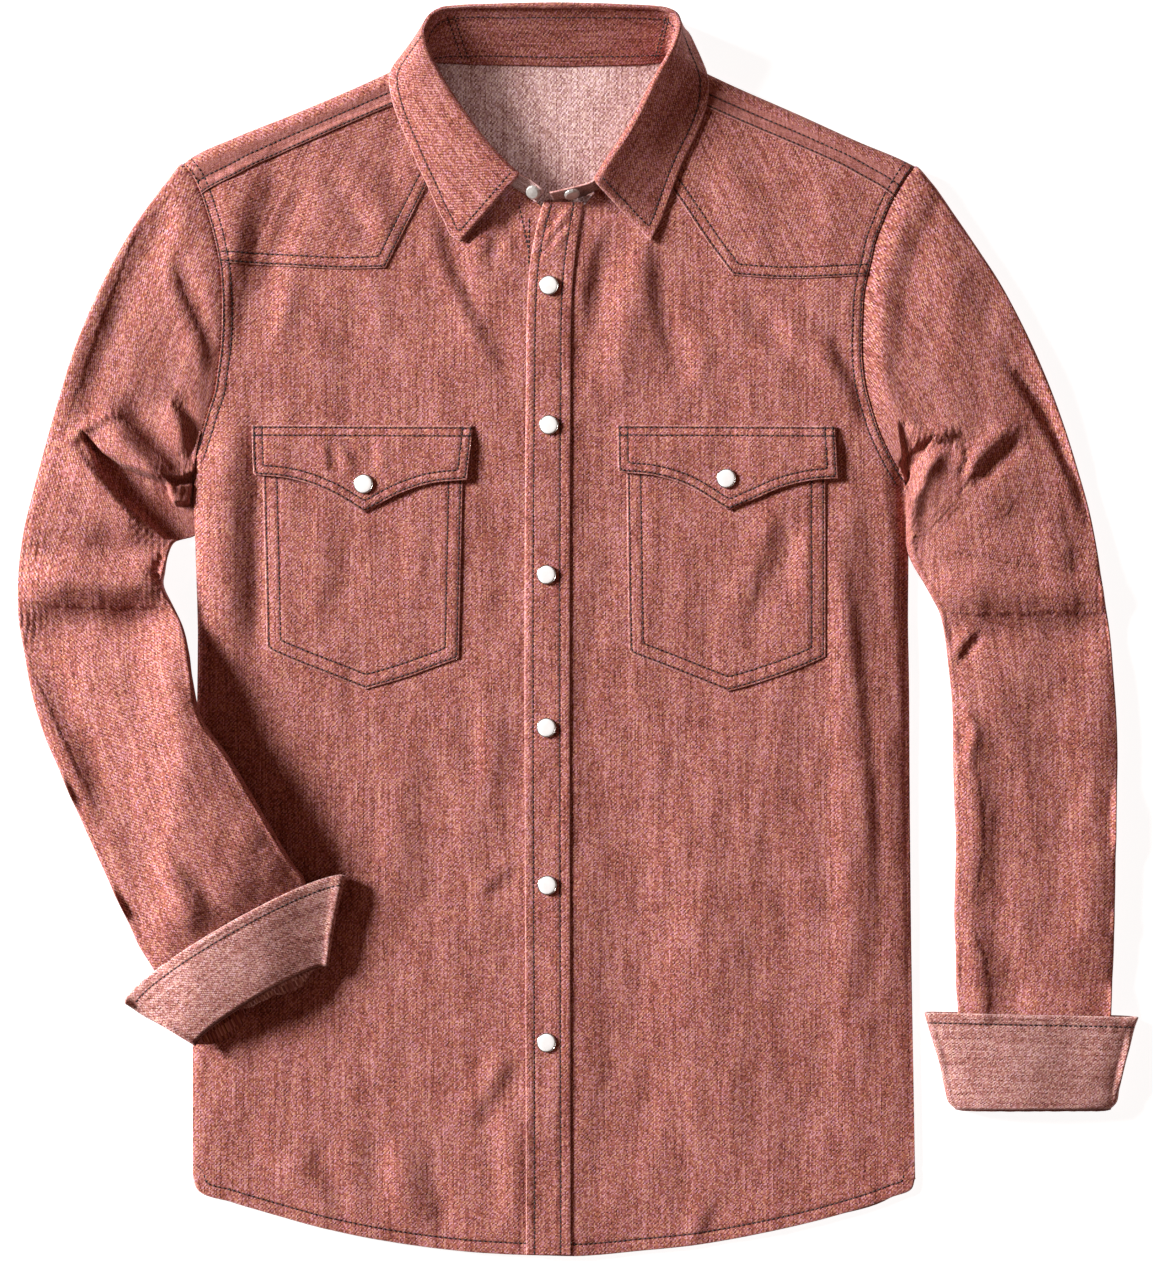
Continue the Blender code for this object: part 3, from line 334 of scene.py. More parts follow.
def denim(name, ground, bloom, deep_and_line_shade, fade_and_highlight, casts):
    """Twill on its bolt: warp yarns each of its own tone, paler weft dots on the diagonal, slubs,
    yarns of a warm and a cool cast, rims paled partly by wear and partly by a painted highlight,
    and needle lines darkened with painted shade of their channels."""
    material, tree, shader = start_material(name, 0.88)
    grain = wired(tree, "UVMap", uv_map="grain").outputs["UV"]

    def stretched(across, along, shift=0.0):
        size = (1 / (across * MM), 1 / (along * MM), 1)
        return wired(tree, "Mapping", {"Vector": grain, "Scale": size,
                                       "Location": (shift, shift, 0)}).outputs[0]

    def worked(operation, *values):
        return wired(tree, "Math", dict(enumerate(values)), operation=operation).outputs[0]

    def blended(share, first, second, blend_type="MIX"):
        return wired(tree, "Mix", {0: share, 6: first, 7: second}, data_type="RGBA",
                     blend_type=blend_type).outputs[2]

    def mixed(*parts):
        """One half, and each part's distance from its middle times its weight."""
        total = 0.5
        for value, middle, weight in parts:
            total = worked("MULTIPLY_ADD", worked("SUBTRACT", value, middle), weight, total)
        return total

    yarns = wired(tree, "SeparateXYZ", {"Vector": stretched(WARP_PITCH, TWILL_PITCH)})
    warp = worked("FLOOR", yarns.outputs[0])
    float_place = worked("MULTIPLY_ADD", warp, -1 / 3, yarns.outputs[1])
    crossing = wired(tree, "CombineXYZ", {"X": warp, "Y": worked(
        "FLOOR", worked("MULTIPLY", float_place, 3.0))}).outputs[0]
    chance = wired(tree, "TexWhiteNoise", {"Vector": crossing}, noise_dimensions="2D")
    own = wired(tree, "SeparateColor", {"Color": chance.outputs[1]})
    yarn, cast = own.outputs[0], own.outputs[1]
    weft_dot = worked("GREATER_THAN", worked("FRACT", float_place), 0.66)
    streak_place = wired(tree, "CombineXYZ", {"X": worked("MULTIPLY", warp, 1.7), "Y": worked(
        "MULTIPLY", yarns.outputs[1], TWILL_PITCH / 45)}).outputs[0]
    streak = wired(tree, "TexNoise", {"Vector": streak_place, "Scale": 1.0, "Detail": 2.0},
                   noise_dimensions="2D").outputs[0]
    clouds = wired(tree, "TexNoise", {"Vector": stretched(16.0, 24.0, shift=1.7), "Scale": 1.0,
                                      "Detail": 4.0}, noise_dimensions="2D")
    wash = wired(tree, "MapRange", {"Value": clouds.outputs[0], "From Min": 0.30,
                                    "From Max": 0.70}).outputs[0]
    tone = mixed((yarn, 0.5, 0.66), (weft_dot, 0.34, 0.30), (streak, 0.5, 0.72),
                 (wash, 0.5, 0.12))

    ramp = wired(tree, "ValToRGB", {"Fac": tone})
    stops = [(0.0, deep_and_line_shade), (0.5, ground), (1.0, bloom)]
    while len(ramp.color_ramp.elements) < len(stops):
        ramp.color_ramp.elements.new(0.5)
    for element, (place, colour) in zip(ramp.color_ramp.elements, stops):
        element.position, element.color = place, (*colour, 1.0)
    warm, cool = (tuple(1 + (c - 1) * casts for c in tint)
                  for tint in ((1.03, 1.06, 0.62, 1.0), (0.97, 0.91, 1.44, 1.0)))
    warm_or_cool = blended(cast, warm, cool)
    dyed = blended(1.0, ramp.outputs[0], warm_or_cool, blend_type="MULTIPLY")

    # Near a rim the colour pales towards the fade colour: partly wear, partly a painted highlight
    # where edges catch the light.
    rim = wired(tree, "Attribute", attribute_name="rim").outputs["Fac"]
    rim_wear_and_highlight = wired(tree, "MapRange", {"Value": rim, "From Min": 0.05, "From Max": 0.8,
                                      "To Min": 1.0, "To Max": 0.0}).outputs[0]
    rim_wear_and_highlight = worked("MULTIPLY", rim_wear_and_highlight, worked("MULTIPLY_ADD", yarn, 0.6, 0.25))
    worn_and_highlit = blended(rim_wear_and_highlight, dyed, (*fade_and_highlight, 1.0))
    # Along each row of stitching the colour darkens towards the deepest tone: painted shade of the
    # needle channel.
    row = wired(tree, "Attribute", attribute_name="row").outputs["Fac"]
    needle_line_shade = wired(tree, "MapRange", {"Value": row, "From Min": 0.35, "From Max": 0.95,
                                           "To Min": 0.7, "To Max": 0.0}).outputs[0]
    tree.links.new(blended(needle_line_shade, worn_and_highlit, (*deep_and_line_shade, 1.0)), shader.inputs["Base Color"])
    tree.links.new(worked("MULTIPLY_ADD", tone, 0.12, 0.80), shader.inputs["Roughness"])
    raised = mixed((yarn, 0.5, 0.6), (weft_dot, 0.34, -0.3), (streak, 0.5, 0.5))
    weave = wired(tree, "Bump", {"Height": raised, "Strength": 0.4, "Distance": 0.12 * MM})
    tree.links.new(weave.outputs[0], shader.inputs["Normal"])
    shader.inputs["Specular IOR Level"].default_value = 0.25
    shader.inputs["Sheen Weight"].default_value = 0.06
    shader.inputs["Sheen Roughness"].default_value = 0.45
    shader.inputs["Sheen Tint"].default_value = (1.0, 0.82, 0.78, 1.0)
    return material


rust_face = denim("rust_denim", ground=(0.345, 0.099, 0.071), bloom=(0.68, 0.355, 0.33),
                  deep_and_line_shade=(0.075, 0.012, 0.007), fade_and_highlight=(0.70, 0.40, 0.38), casts=0.88)
pale_reverse = denim("rust_denim_reverse", ground=(0.43, 0.245, 0.228), bloom=(0.76, 0.60, 0.58),
                     deep_and_line_shade=(0.150, 0.050, 0.038), fade_and_highlight=(0.72, 0.50, 0.47), casts=0.3)
cuff_reverse = denim("rust_denim_cuffs", ground=(0.41, 0.165, 0.140), bloom=(0.74, 0.49, 0.46),
                     deep_and_line_shade=(0.110, 0.024, 0.016), fade_and_highlight=(0.74, 0.52, 0.50), casts=0.4)

hem_line = through([(-245, -347)] + HEM[2:-2] + [(214.5, -347)], corners=(0,))
back_left = through(side_part(1, -347, 85)
                    + armhole_part(ARMHOLE_LEFT, 112, BACK_TOP, BACK_INSET))
back_right = through(side_part(2, -347, 85)
                     + armhole_part(ARMHOLE_RIGHT, 97, BACK_TOP, BACK_INSET))
back_top = through([back_left(1.0), back_right(1.0)])
back_plan = patch(hem_line, back_top, back_left, back_right, spaced(460, 5.0),
                  spaced(600, 5.0, (HEM_DEPTH,)))
back_points = np.dstack([back_plan, np.full(back_plan.shape[:2], CLOTH + GAP)])
back, back_surface = cut_cloth("shirt_back", back_points, back_plan,
                               [(drawn(hem_line), (HEM_DEPTH,))],
                               pale_reverse, rust_face)
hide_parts("back")

# Topstitching thread: heavy dark brown cotton, in beads as long as one stitch that shows.
STITCH_PITCH, STITCH_SHOWN = 3.2, 0.84
STITCH_WIDTH, STITCH_HEIGHT = 1.2, 0.8

thread, tree, shader = start_material("brown_thread", 0.7)
plies = wired(tree, "TexNoise", {"Vector": wired(tree, "TexCoord").outputs["Object"],
                                 "Scale": 900.0})
ply_tone = wired(tree, "ValToRGB", {"Fac": plies.outputs[0]})
ply_tone.color_ramp.elements[0].color = (0.006, 0.003, 0.004, 1.0)
ply_tone.color_ramp.elements[1].color = (0.030, 0.016, 0.018, 1.0)
tree.links.new(ply_tone.outputs[0], shader.inputs["Base Color"])


def inset(line, distance):
    """A line of points moved to its left, its corners mitred."""
    along = np.gradient(line, axis=0)
    aside = np.column_stack([-along[:, 1], along[:, 0]])
    moved = line + distance * aside / np.linalg.norm(aside, axis=1)[:, None]
    away = beside(line, moved[:, 0], moved[:, 1])[0]
    return moved[away > abs(distance) - 0.08]


def laid_on(surfaces, path, down=True):
    """A path of plan points, each on the highest of the surfaces, or the lowest from below."""
    start, way = (ABOVE, Vector((0, 0, -1))) if down else (-ABOVE, Vector((0, 0, 1)))
    found = []
    for x, y in path:
        hits = [s.ray_cast(Vector((x * MM, y * MM, start)), way)[0] for s in surfaces]
        hits = [hit.z for hit in hits if hit is not None]
        if hits:
            found.append((x, y, (max(hits) if down else min(hits)) / MM))
    return np.array(found)


def sew(name, *paths, pitch=STITCH_PITCH, width=STITCH_WIDTH):
    """Rows of stitches along paths of points in space."""
    bm = bmesh.new()
    for path in paths:
        run = run_along(path)
        count = max(1, round(run[-1] / pitch))
        for k in range(count):
            ends = [run[-1] * (k + 0.5 + half * STITCH_SHOWN / 2) / count for half in (-1, 1)]
            start, end = (Vector([np.interp(at, run, path[:, axis]) for axis in range(3)])
                          for at in ends)
            if (end - start).length > 1.3 * pitch:
                continue
            size = Matrix.Diagonal(((end - start).length / 2, width / 2, STITCH_HEIGHT / 2, 1))
            turn = (end - start).to_track_quat("X", "Z").to_matrix().to_4x4()
            place = Matrix.Translation((start + end) / 2 * MM) @ turn @ size
            bmesh.ops.create_icosphere(bm, subdivisions=1, radius=MM, matrix=place)
    return link_mesh(name, bm, thread)


hem_row = inset(drawn(hem_line), HEM_DEPTH)
back_stitches = sew("hem_stitches_back", laid_on([back_surface], hem_row) - (0, 0, CLOTH))
declare(back, back_plan, [back_stitches])

# ---------------------------------------------------------------- fronts
# Two long panels of the twill on their warp, the right over the left down the middle. Each
# rolls under to its side seam, carries the folds of the worn body, and ends in a turned hem.
UNDER_EDGE_X, OVER_EDGE_X = -6.0, -32.3
ARMHOLE_ROWS = (1.5, 6.5)           # the body laps over each sleeve, held by two rows
SIDE_ROLLS = (8.0, 3.6)             # how far in the left and the right side start to roll
SIDE_SEAM_TOP = 2.7
SEAM_RISE = 4.5                     # where the seam leaves the table for the armhole
NECK_LEFT = [(-17, 262), (-27.3, 273.5), (-35.2, 279.5), (-43, 285.2), (-49.7, 291.9),
             (-58.2, 301.1), (-66.2, 312.9), (-76, 327.3), (-85, 340.8), (-91, 348.5)]
NECK_RIGHT = [(4, 270.5), (13, 284), (21, 295.5), (30, 309), (38, 322.5), (48, 338.5),
              (53, 347.5)]
PLACKET = np.array([                # y, left edge, right edge
    (272.5, -22.0, 4.0), (265, -24.2, 2.7), (250, -27.8, 0.0), (235, -30.3, -2.0),
    (225, -31.3, -3.0), (200, -32.5, -4.2), (160, -33.0, -4.5), (-396, -33.0, -4.5)])

# Where the body's cloth drops: how far, its reach on the high and on the low side, and the run.
# It drops to the left of the run, or rises there where the figure is below zero.
BODY_DROPS = [
    (3.4, 11, 10, (-190, 308), (-198, 280), (-205, 255), (-211, 228), (-217, 200), (-222, 168)),
    (1.8, 5, 6, (-178, 294), (-184, 272), (-192, 250), (-200, 226), (-208, 205)),
    (-1.7, 5, 6, (-186, 226), (-191, 206), (-198, 180)),
    (-2.3, 6, 7, (-158, 300), (-145, 280), (-131, 258), (-121, 240)),
    (1.2, 4, 5, (-172, 302), (-150, 304), (-130, 292), (-112, 276)),
    (4.4, 17, 4, (-207, 152), (-207, 110), (-207, 60), (-207, 10), (-208, -30)),
    (1.6, 3, 4, (-160, 124), (-158, 112), (-157, 98)),
    (-1.6, 4, 5, (-130, 124), (-128, 110), (-127, 98)),
    (1.3, 3, 4, (-153, 124), (-146, 112), (-139, 102)),
    (3.3, 6, 9, (-98, 290), (-90, 258), (-81, 230), (-68, 204), (-57, 182), (-46, 150)),
    (1.8, 5, 5, (-46, 274), (-54, 252), (-61, 230)),
    (-1.8, 5, 6, (-74, 238), (-66, 216), (-59, 194)),
    (-3.0, 11, 12, (46, 264), (34, 236), (24, 206), (16, 176), (10, 146)),
    (1.7, 6, 6, (46, 256), (47, 226), (50, 200), (56, 178), (64, 160)),
    (1.9, 5, 6, (18, 264), (12, 240), (6, 212), (4, 190)),
    (-1.4, 7, 8, (74, 196), (72, 172), (66, 148)),
    (1.5, 6, 7, (98, 208), (108, 196), (118, 184), (131, 170)),
    (-1.4, 6, 7, (122, 206), (131, 192), (143, 178)),
    (3.2, 7, 6, (153, 196), (162, 178), (171, 160), (177, 143), (179, 124)),
    (-1.6, 6, 8, (158, 84), (160, 20), (162, -40), (164, -110), (166, -180), (166, -260)),
    (1.7, 5, 5, (166, 84), (170, 45), (175, 5), (180, -40), (185, -90), (188, -150), (190, -220)),
    (-1.8, 9, 5, (188, 118), (194, 80), (197, 30), (200, -20), (203, -80)),
    (2.2, 8, 9, (128, 84), (121, 52), (114, 28), (106, 0)),
    (-1.4, 6, 6, (143, 72), (139, 42), (138, 12)),
    (1.0, 9, 9, (-158, 78), (-155, 42), (-160, 6)),
    (-0.9, 8, 8, (-112, 70), (-108, 34), (-114, 4)),
    (-1.4, 6, 7, (-64, -36), (-62, -68), (-66, -108)),
    (1.5, 5, 6, (-35, -149), (-48, -156), (-62, -170)),
    (2.2, 7, 7, (-34, -264), (-44, -280), (-58, -300), (-68, -320)),
    (-2.2, 9, 8, (-52, -296), (-47, -330), (-46, -360), (-48, -390)),
    (-2.4, 8, 7, (-118, -312), (-120, -345), (-116, -380)),
    (2.2, 8, 8, (-101, -328), (-96, -356), (-90, -388)),
    (1.8, 8, 9, (-176, -322), (-163, -348), (-148, -378)),
    (-1.2, 9, 9, (-206, -300), (-198, -330), (-190, -358)),
    (1.3, 24, 26, (98, -170), (110, -260), (122, -360)),
    (-1.4, 22, 22, (56, -60), (62, -160), (70, -260)),
    (1.2, 18, 18, (6, -190), (16, -270), (12, -350)),
    (1.6, 16, 16, (-100, -60), (-104, -130), (-98, -200)),
    (1.4, 6, 6, (86, -362), (80, -378), (74, -396)),
    (1.8, 2.5, 3, (-27, 243), (-16, 256), (-5, 272)),
    (1.3, 2, 2.5, (-28, 232), (-20, 240), (-9, 254), (0, 264)),
    (1.6, 3, 4, (-50, 262), (-44, 250), (-38, 238)),
    (-1.1, 7, 8, (-118, 318), (-112, 292), (-104, 268)),
    (1.2, 9, 10, (92, 312), (112, 282), (132, 250)),
    (-1.1, 8, 9, (134, 300), (150, 276), (160, 246))]


def nearest_on(run, x, y):
    """How far each point lies to the left of a run, and how strong a fold still is there."""
    line = drawn(through(run), 4.0)
    gaps = np.hypot(x[..., None] - line[:, 0], y[..., None] - line[:, 1])
    nearest = gaps.argmin(-1)
    way = np.gradient(line, axis=0)[nearest]
    turn = way[..., 0] * (y - line[nearest, 1]) - way[..., 1] * (x - line[nearest, 0])
    share = nearest / (len(line) - 1)
    return gaps.min(-1) * np.sign(turn), softly(np.minimum(share, 1 - share) / 0.3)


def drops(rows, x, y):
    """Relief of cloth that drops across each run, with a crest before it and a trough after."""
    total = np.zeros(np.shape(x))
    for drop, high_reach, low_reach, *run in rows:
        aside, fading = nearest_on(run, x, y)
        reach = np.where(aside > 0, low_reach, high_reach)
        part = aside / reach
        total -= (drop * fading * reach / (high_reach + low_reach) * part
                  * np.exp((1 - part ** 2) / 2))
    return total


def folds(rows, x, y):
    """Relief of ridges and troughs laid along their runs, soft at both ends."""
    total = np.zeros(np.shape(x))
    for height, left_reach, right_reach, *run in rows:
        aside, fading = nearest_on(run, x, y)
        reach = np.where(aside > 0, left_reach, right_reach)
        total += height * fading * np.exp(-(aside / reach) ** 2)
    return total


def side_of(node, start=ABOVE, near=0.012):
    """Height of a frame solid's top over a plan point, as a function. Looked at from below, with
    a start under the table, it is the height of its underside."""
    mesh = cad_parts[node].data
    tree = BVHTree.FromPolygons([v.co for v in mesh.vertices],
                                [tuple(p.vertices) for p in mesh.polygons])

    def height(x, y):
        way = Vector((0, 0, math.copysign(1, -start)))
        spot = tree.ray_cast(Vector((x * MM, y * MM, start)), way)[0]
        return (spot or tree.find_nearest(Vector((x * MM, y * MM, near)))[0]).z / MM
    return height


def settled(node, x, y, passes=9):
    """Heights of a frame solid's top under a grid, its facets evened out."""
    height = side_of(node)
    z = np.array([height(a, b) for a, b in zip(x.flat, y.flat)]).reshape(x.shape)
    for _ in range(2 * passes):
        wide = np.pad(z, ((1, 1), (0, 0)), mode="reflect", reflect_type="odd")
        z = ((wide[:-2] + 2 * wide[1:-1] + wide[2:]) / 4).T
    return z


def drape(x, y):
    """What the body's cloth does on its way down: listed folds and smaller unevenness."""
    return (drops(BODY_DROPS, x, y) + 0.7 * ripple(x, y, 42, 90, 1.3)
            + 0.40 * ripple(x, y, 15, 40, 4.1) + 0.12 * ripple(x, y, 6, 11, 7.7))


def sewn(line, x, y, rows, pull=0.32):
    """Relief of a turned and stitched edge: the rim rounds down, each row of thread pulls a
    channel, and the cloth between them puckers."""
    away, run = beside(line, x, y)
    relief = -0.35 * np.exp(-(away / 0.4) ** 2)
    for row in rows:
        relief -= pull * np.exp(-((away - row) / 0.8) ** 2)
    uneven = np.sin(run / 1.45 + 2.4 * np.sin(run / 13.0)) * (0.6 + 0.4 * np.sin(run / 29.0))
    middle = (rows[0] + rows[-1]) / 2 if rows else 2.0
    return relief + pull * uneven * np.exp(-((away - middle) / 3.0) ** 2)


def front_heights(node, x, y):
    """A front's heights: from the frame inside its side rolls, rounded down to the seam."""
    left, right = (np.interp(y, SIDES[:, 0], SIDES[:, k]) for k in (1, 2))
    inside = np.minimum((x - left) / SIDE_ROLLS[0], (right - x) / SIDE_ROLLS[1])
    inner_x = np.clip(x, left + SIDE_ROLLS[0], right - SIDE_ROLLS[1])
    body = settled(node, np.where(y < 200, inner_x, x), y) + drape(x, y)
    rise = np.clip(inside, 0, 1)
    seam = SIDE_SEAM_TOP + SEAM_RISE * softly((y - 50) / 30)
    return seam + (body - seam) * np.sqrt(1 - (1 - rise) ** 2)


armhole_lines = {"left": drawn(through(ARMHOLE_LEFT)), "right": drawn(through(ARMHOLE_RIGHT))}


def make_front(name, node, plan, hem, armhole):
    """A front over its plan, hemmed and sewn to the sleeve."""
    x, y = plan[..., 0], plan[..., 1]
    z = front_heights(node, x, y) + sewn(drawn(hem), x, y, rows=(HEM_DEPTH,), pull=0.35)
    z += sewn(armhole, x, y, rows=ARMHOLE_ROWS, pull=0.3)
    front, surface = cut_cloth(name, np.dstack([plan, z]), plan,
                               [(drawn(hem), (HEM_DEPTH,)), (armhole, ARMHOLE_ROWS)],
                               rust_face, pale_reverse)
    stitches = sew("hem_stitches_" + node, laid_on([surface], inset(drawn(hem), HEM_DEPTH)))
    declare(front, plan, [stitches])
    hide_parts(node)
    return surface


hole_left = armhole_part(ARMHOLE_LEFT, 112, 283.5)
side_left = side_part(1, -300, 85)
hem_under = [(-245, -347)] + [p for p in HEM[1:] if p[0] < UNDER_EDGE_X] + [(UNDER_EDGE_X, -397)]
hem_under = through(hem_under)
under_left = through([(-245, -347)] + side_left + hole_left, corners=(1 + len(side_left),))
under_right = through([(UNDER_EDGE_X, -397), (UNDER_EDGE_X, 200), (-12, 250)] + NECK_LEFT)
under_top = through([hole_left[-1], (-220, 292.5), (-180, 310), (-140, 327.5), (-91, 348.5)])
under_plan = patch(hem_under, under_top, under_left, under_right,
                   spaced(215, 2.5, ARMHOLE_ROWS), spaced(660, 2.5, (HEM_DEPTH,)))
under_surface = make_front("front_under_cloth", "front_under", under_plan, hem_under,
                           armhole_lines["left"])

hole_right = armhole_part(ARMHOLE_RIGHT, 97, 281.5)
side_right = side_part(2, -300, 85)
hem_over = through([(OVER_EDGE_X, -396)] + [p for p in HEM if p[0] > OVER_EDGE_X][:-1]
                   + [(214.5, -347)])
over_right = through([(214.5, -347)] + side_right + hole_right, corners=(1 + len(side_right),))
over_left = [(left + 0.7, y) for y, left, right in PLACKET[::-1][1:]]
over_left = through([(OVER_EDGE_X, -396)] + over_left + NECK_RIGHT, corners=(len(PLACKET) - 1,))
over_top = through([(53, 347.5), (100, 327.5), (140, 310.5), (180, 293), hole_right[-1]])
over_plan = patch(hem_over, over_top, over_left, over_right,
                  spaced(240, 2.5, ARMHOLE_ROWS), spaced(660, 2.5, (HEM_DEPTH,)))
over_surface = make_front("front_over_cloth", "front_over", over_plan, hem_over,
                          armhole_lines["right"])

# ---------------------------------------------------------------- placket
# A folded band down the over front's edge, stitched down both sides. Its left edge is a fold
# that catches the light; its right edge is turned under, with the snaps set between the rows.
PLACKET_ROWS = (5.4, 6.5)           # stitching in from its left and its right edge
PLACKET_SHIFT = (400, 130)          # the band is cut from another place of the bolt
THROAT_ROWS = [[(-37.6, 271), (-34.5, 257), (-31.6, 243)],
               [(-31.0, 262), (-31.2, 247), (-31.4, 233)]]
SUNK = 0.7                          # how far a stitched-down piece sinks into what it lies on

placket_left = through([(left, y) for y, left, right in PLACKET[::-1]])
placket_right = through([(right, y) for y, left, right in PLACKET[::-1]])
placket_foot = through([placket_left(0.0), placket_right(0.0)])
placket_head = through([placket_left(1.0), placket_right(1.0)])
placket_plan = patch(placket_foot, placket_head, placket_left, placket_right,
                     spaced(28, 1.5, PLACKET_ROWS), spaced(669, 2.3))
x, y = placket_plan[..., 0], placket_plan[..., 1]
placket_edges = [drawn(placket_left), drawn(placket_right)]
placket_z = (settled("placket", x, y) + drape(x, y) - SUNK
             + sewn(placket_edges[0], x, y, rows=(PLACKET_ROWS[0],), pull=0.3)
             + sewn(placket_edges[1], x, y, rows=(PLACKET_ROWS[1],), pull=0.3))
placket, placket_surface = cut_cloth(
    "placket_cloth", np.dstack([placket_plan, placket_z]), placket_plan + PLACKET_SHIFT,
    [(edge, (row,)) for edge, row in zip(placket_edges, PLACKET_ROWS)], rust_face, pale_reverse,
    wall=CLOTH - SUNK)
placket_stitches = sew(
    "placket_stitches",
    laid_on([placket_surface], inset(placket_edges[0], -PLACKET_ROWS[0])),
    laid_on([placket_surface], inset(placket_edges[1], PLACKET_ROWS[1])),
    *(laid_on([under_surface], drawn(through(row))) for row in THROAT_ROWS))
declare(placket, placket_plan, [placket_stitches])
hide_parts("placket")

# ---------------------------------------------------------------- front yokes
# A pointed panel over each shoulder's front, cut with the warp aslant and laid on the front,
# with two rows of topstitching along its lower edge.
YOKE_ROWS = (1.5, 7.3)
YOKE_SUNK = 0.9
YOKE_SHIFT = 900
YOKE_LEFT_EDGE = [(-227.5, 234), (-190, 232), (-150, 230), (-122, 230.5), (-109, 257),
                  (-96, 283), (-77, 322)]
YOKE_RIGHT_EDGE = [(34, 313), (60, 280), (70, 265.5), (80, 250.5), (98, 226), (130, 224),
                   (184.5, 225.8)]


def turned(plan, degrees, shift):
    """The plan laid on the bolt at an angle, so that its warp runs aslant."""
    c, s = math.cos(math.radians(degrees)), math.sin(math.radians(degrees))
    x, y = plan[..., 0], plan[..., 1]
    return np.dstack([c * x + s * y + shift, c * y - s * x + shift])


def make_front_yoke(side, edge, bottom, top, start, end, slant):
    """A front yoke between its four edges, turned in and sewn down along one of its lines."""
    plan = patch(bottom, top, start, end, spaced(105, 2.0, YOKE_ROWS), spaced(75, 2.0, YOKE_ROWS))
    x, y = plan[..., 0], plan[..., 1]
    node, line = "yoke_front_" + side, drawn(edge)
    z = settled(node, x, y, passes=5) + drape(x, y) + sewn(line, x, y, rows=YOKE_ROWS) - YOKE_SUNK
    z += sewn(armhole_lines[side], x, y, rows=ARMHOLE_ROWS, pull=0.3)
    grain = turned(plan, slant, YOKE_SHIFT)
    yoke, surface = cut_cloth(node + "_cloth", np.dstack([plan, z]), grain,
                              [(line, YOKE_ROWS), (armhole_lines[side], ARMHOLE_ROWS)],
                              rust_face, pale_reverse, wall=CLOTH - SUNK)
    rows = [laid_on([surface], inset(line, away)) for away in YOKE_ROWS]
    stitches = sew(node + "_stitches", *rows)
    declare(yoke, grain, [stitches])
    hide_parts(node)
    return surface


yoke_hole_left = armhole_part(ARMHOLE_LEFT, 234, 283.5)
yoke_left_surface = make_front_yoke(
    "left", through(YOKE_LEFT_EDGE, corners=(3,)),
    through([yoke_hole_left[0]] + YOKE_LEFT_EDGE[1:4]),
    through([yoke_hole_left[-1], (-220, 292.5), (-180, 310), (-140, 327.5), (-93, 347)]),
    through(yoke_hole_left),
    through(YOKE_LEFT_EDGE[3:] + [(-79, 328), (-87, 340.5), (-93, 347)]), slant=-26)
yoke_hole_right = armhole_part(ARMHOLE_RIGHT, 226, 281.5)
yoke_right_surface = make_front_yoke(
    "right", through(YOKE_RIGHT_EDGE, corners=(4,)),
    through(YOKE_RIGHT_EDGE[4:6] + [yoke_hole_right[0]]),
    through([(55, 346), (100, 327.5), (140, 310.5), (180, 293), yoke_hole_right[-1]]),
    through(YOKE_RIGHT_EDGE[4::-1] + [(42, 325), (51, 339), (55, 346)]),
    through(yoke_hole_right), slant=26)

# ---------------------------------------------------------------- pockets
# A patch pocket on each chest with a pointed foot, turned in all round and sewn with two
# rows; its mouth lies hidden under the flap.
POCKET_TOP = 119.0
POCKET_ROWS = (1.6, 9.0)
POCKET_FOOT_LEFT = [(-197.6, -9.5), (-195, -12.6), (-180, -19), (-150, -30.8), (-135, -36.8),
                    (-110, -29.5), (-90, -22.3), (-75.5, -17)]
POCKET_FOOT_RIGHT = [(32.3, -12.3), (34.6, -14.6), (60, -24.3), (85, -34.3), (95, -38.2),
                     (115, -32.5), (145, -21.5), (157.2, -16)]


def make_pocket(side, foot, mouth_left, mouth_right, tip, shift):
    """A pocket from its mouth down to its pointed foot."""
    node = "pocket_" + side
    left, right = through([foot[0], (mouth_left, POCKET_TOP)]), through(
        [foot[-1], (mouth_right, POCKET_TOP)])
    bottom = through(foot, corners=(1, tip))
    top = through([left(1.0), right(1.0)])
    plan = patch(bottom, top, left, right, spaced(125, 2.0, POCKET_ROWS, bottom.corners),
                 spaced(140, 2.0, POCKET_ROWS))
    outline = through([(mouth_left, POCKET_TOP)] + foot + [(mouth_right, POCKET_TOP)],
                      corners=(1, 2, 1 + tip, len(foot)))
    x, y, line = plan[..., 0], plan[..., 1], drawn(outline)
    z = settled(node, x, y) + drape(x, y) + sewn(line, x, y, rows=POCKET_ROWS) - SUNK
    pocket, surface = cut_cloth(node + "_cloth", np.dstack([plan, z]), plan + shift,
                                [(line, POCKET_ROWS)], rust_face, pale_reverse,
                                wall=CLOTH - SUNK)
    stitches = sew(node + "_stitches",
                   *(laid_on([surface], inset(line, away)) for away in POCKET_ROWS))
    declare(pocket, plan, [stitches])
    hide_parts(node)


make_pocket("left", POCKET_FOOT_LEFT, -200.5, -72.5, tip=4, shift=(310, 77))
make_pocket("right", POCKET_FOOT_RIGHT, 30.5, 157.0, tip=4, shift=(-330, 41))

# ---------------------------------------------------------------- pocket flaps
# A western flap over each pocket: two layers turned out, double stitched all round, its ends
# barred with dense thread, and its point held down by a snap.
FLAP_TOP = 131.0
FLAP_ROWS = (1.5, 6.5)
FLAP_FOOT_LEFT = [(-206, 100.2), (-204.4, 98.8), (-190, 98), (-175, 95), (-155, 87),
                  (-135.5, 75.2), (-115, 86.5), (-95, 93.5), (-70.3, 96.2)]
FLAP_FOOT_RIGHT = [(25.2, 102), (27, 100.8), (50, 98.5), (70, 92), (90, 80), (95.5, 76.6),
                   (110, 83), (130, 91.5), (150, 96), (164.8, 97)]
FLAP_WALL = 1.3
BAR_LENGTH, BAR_WIDTH, BAR_PITCH = 6.5, 1.0, 1.0


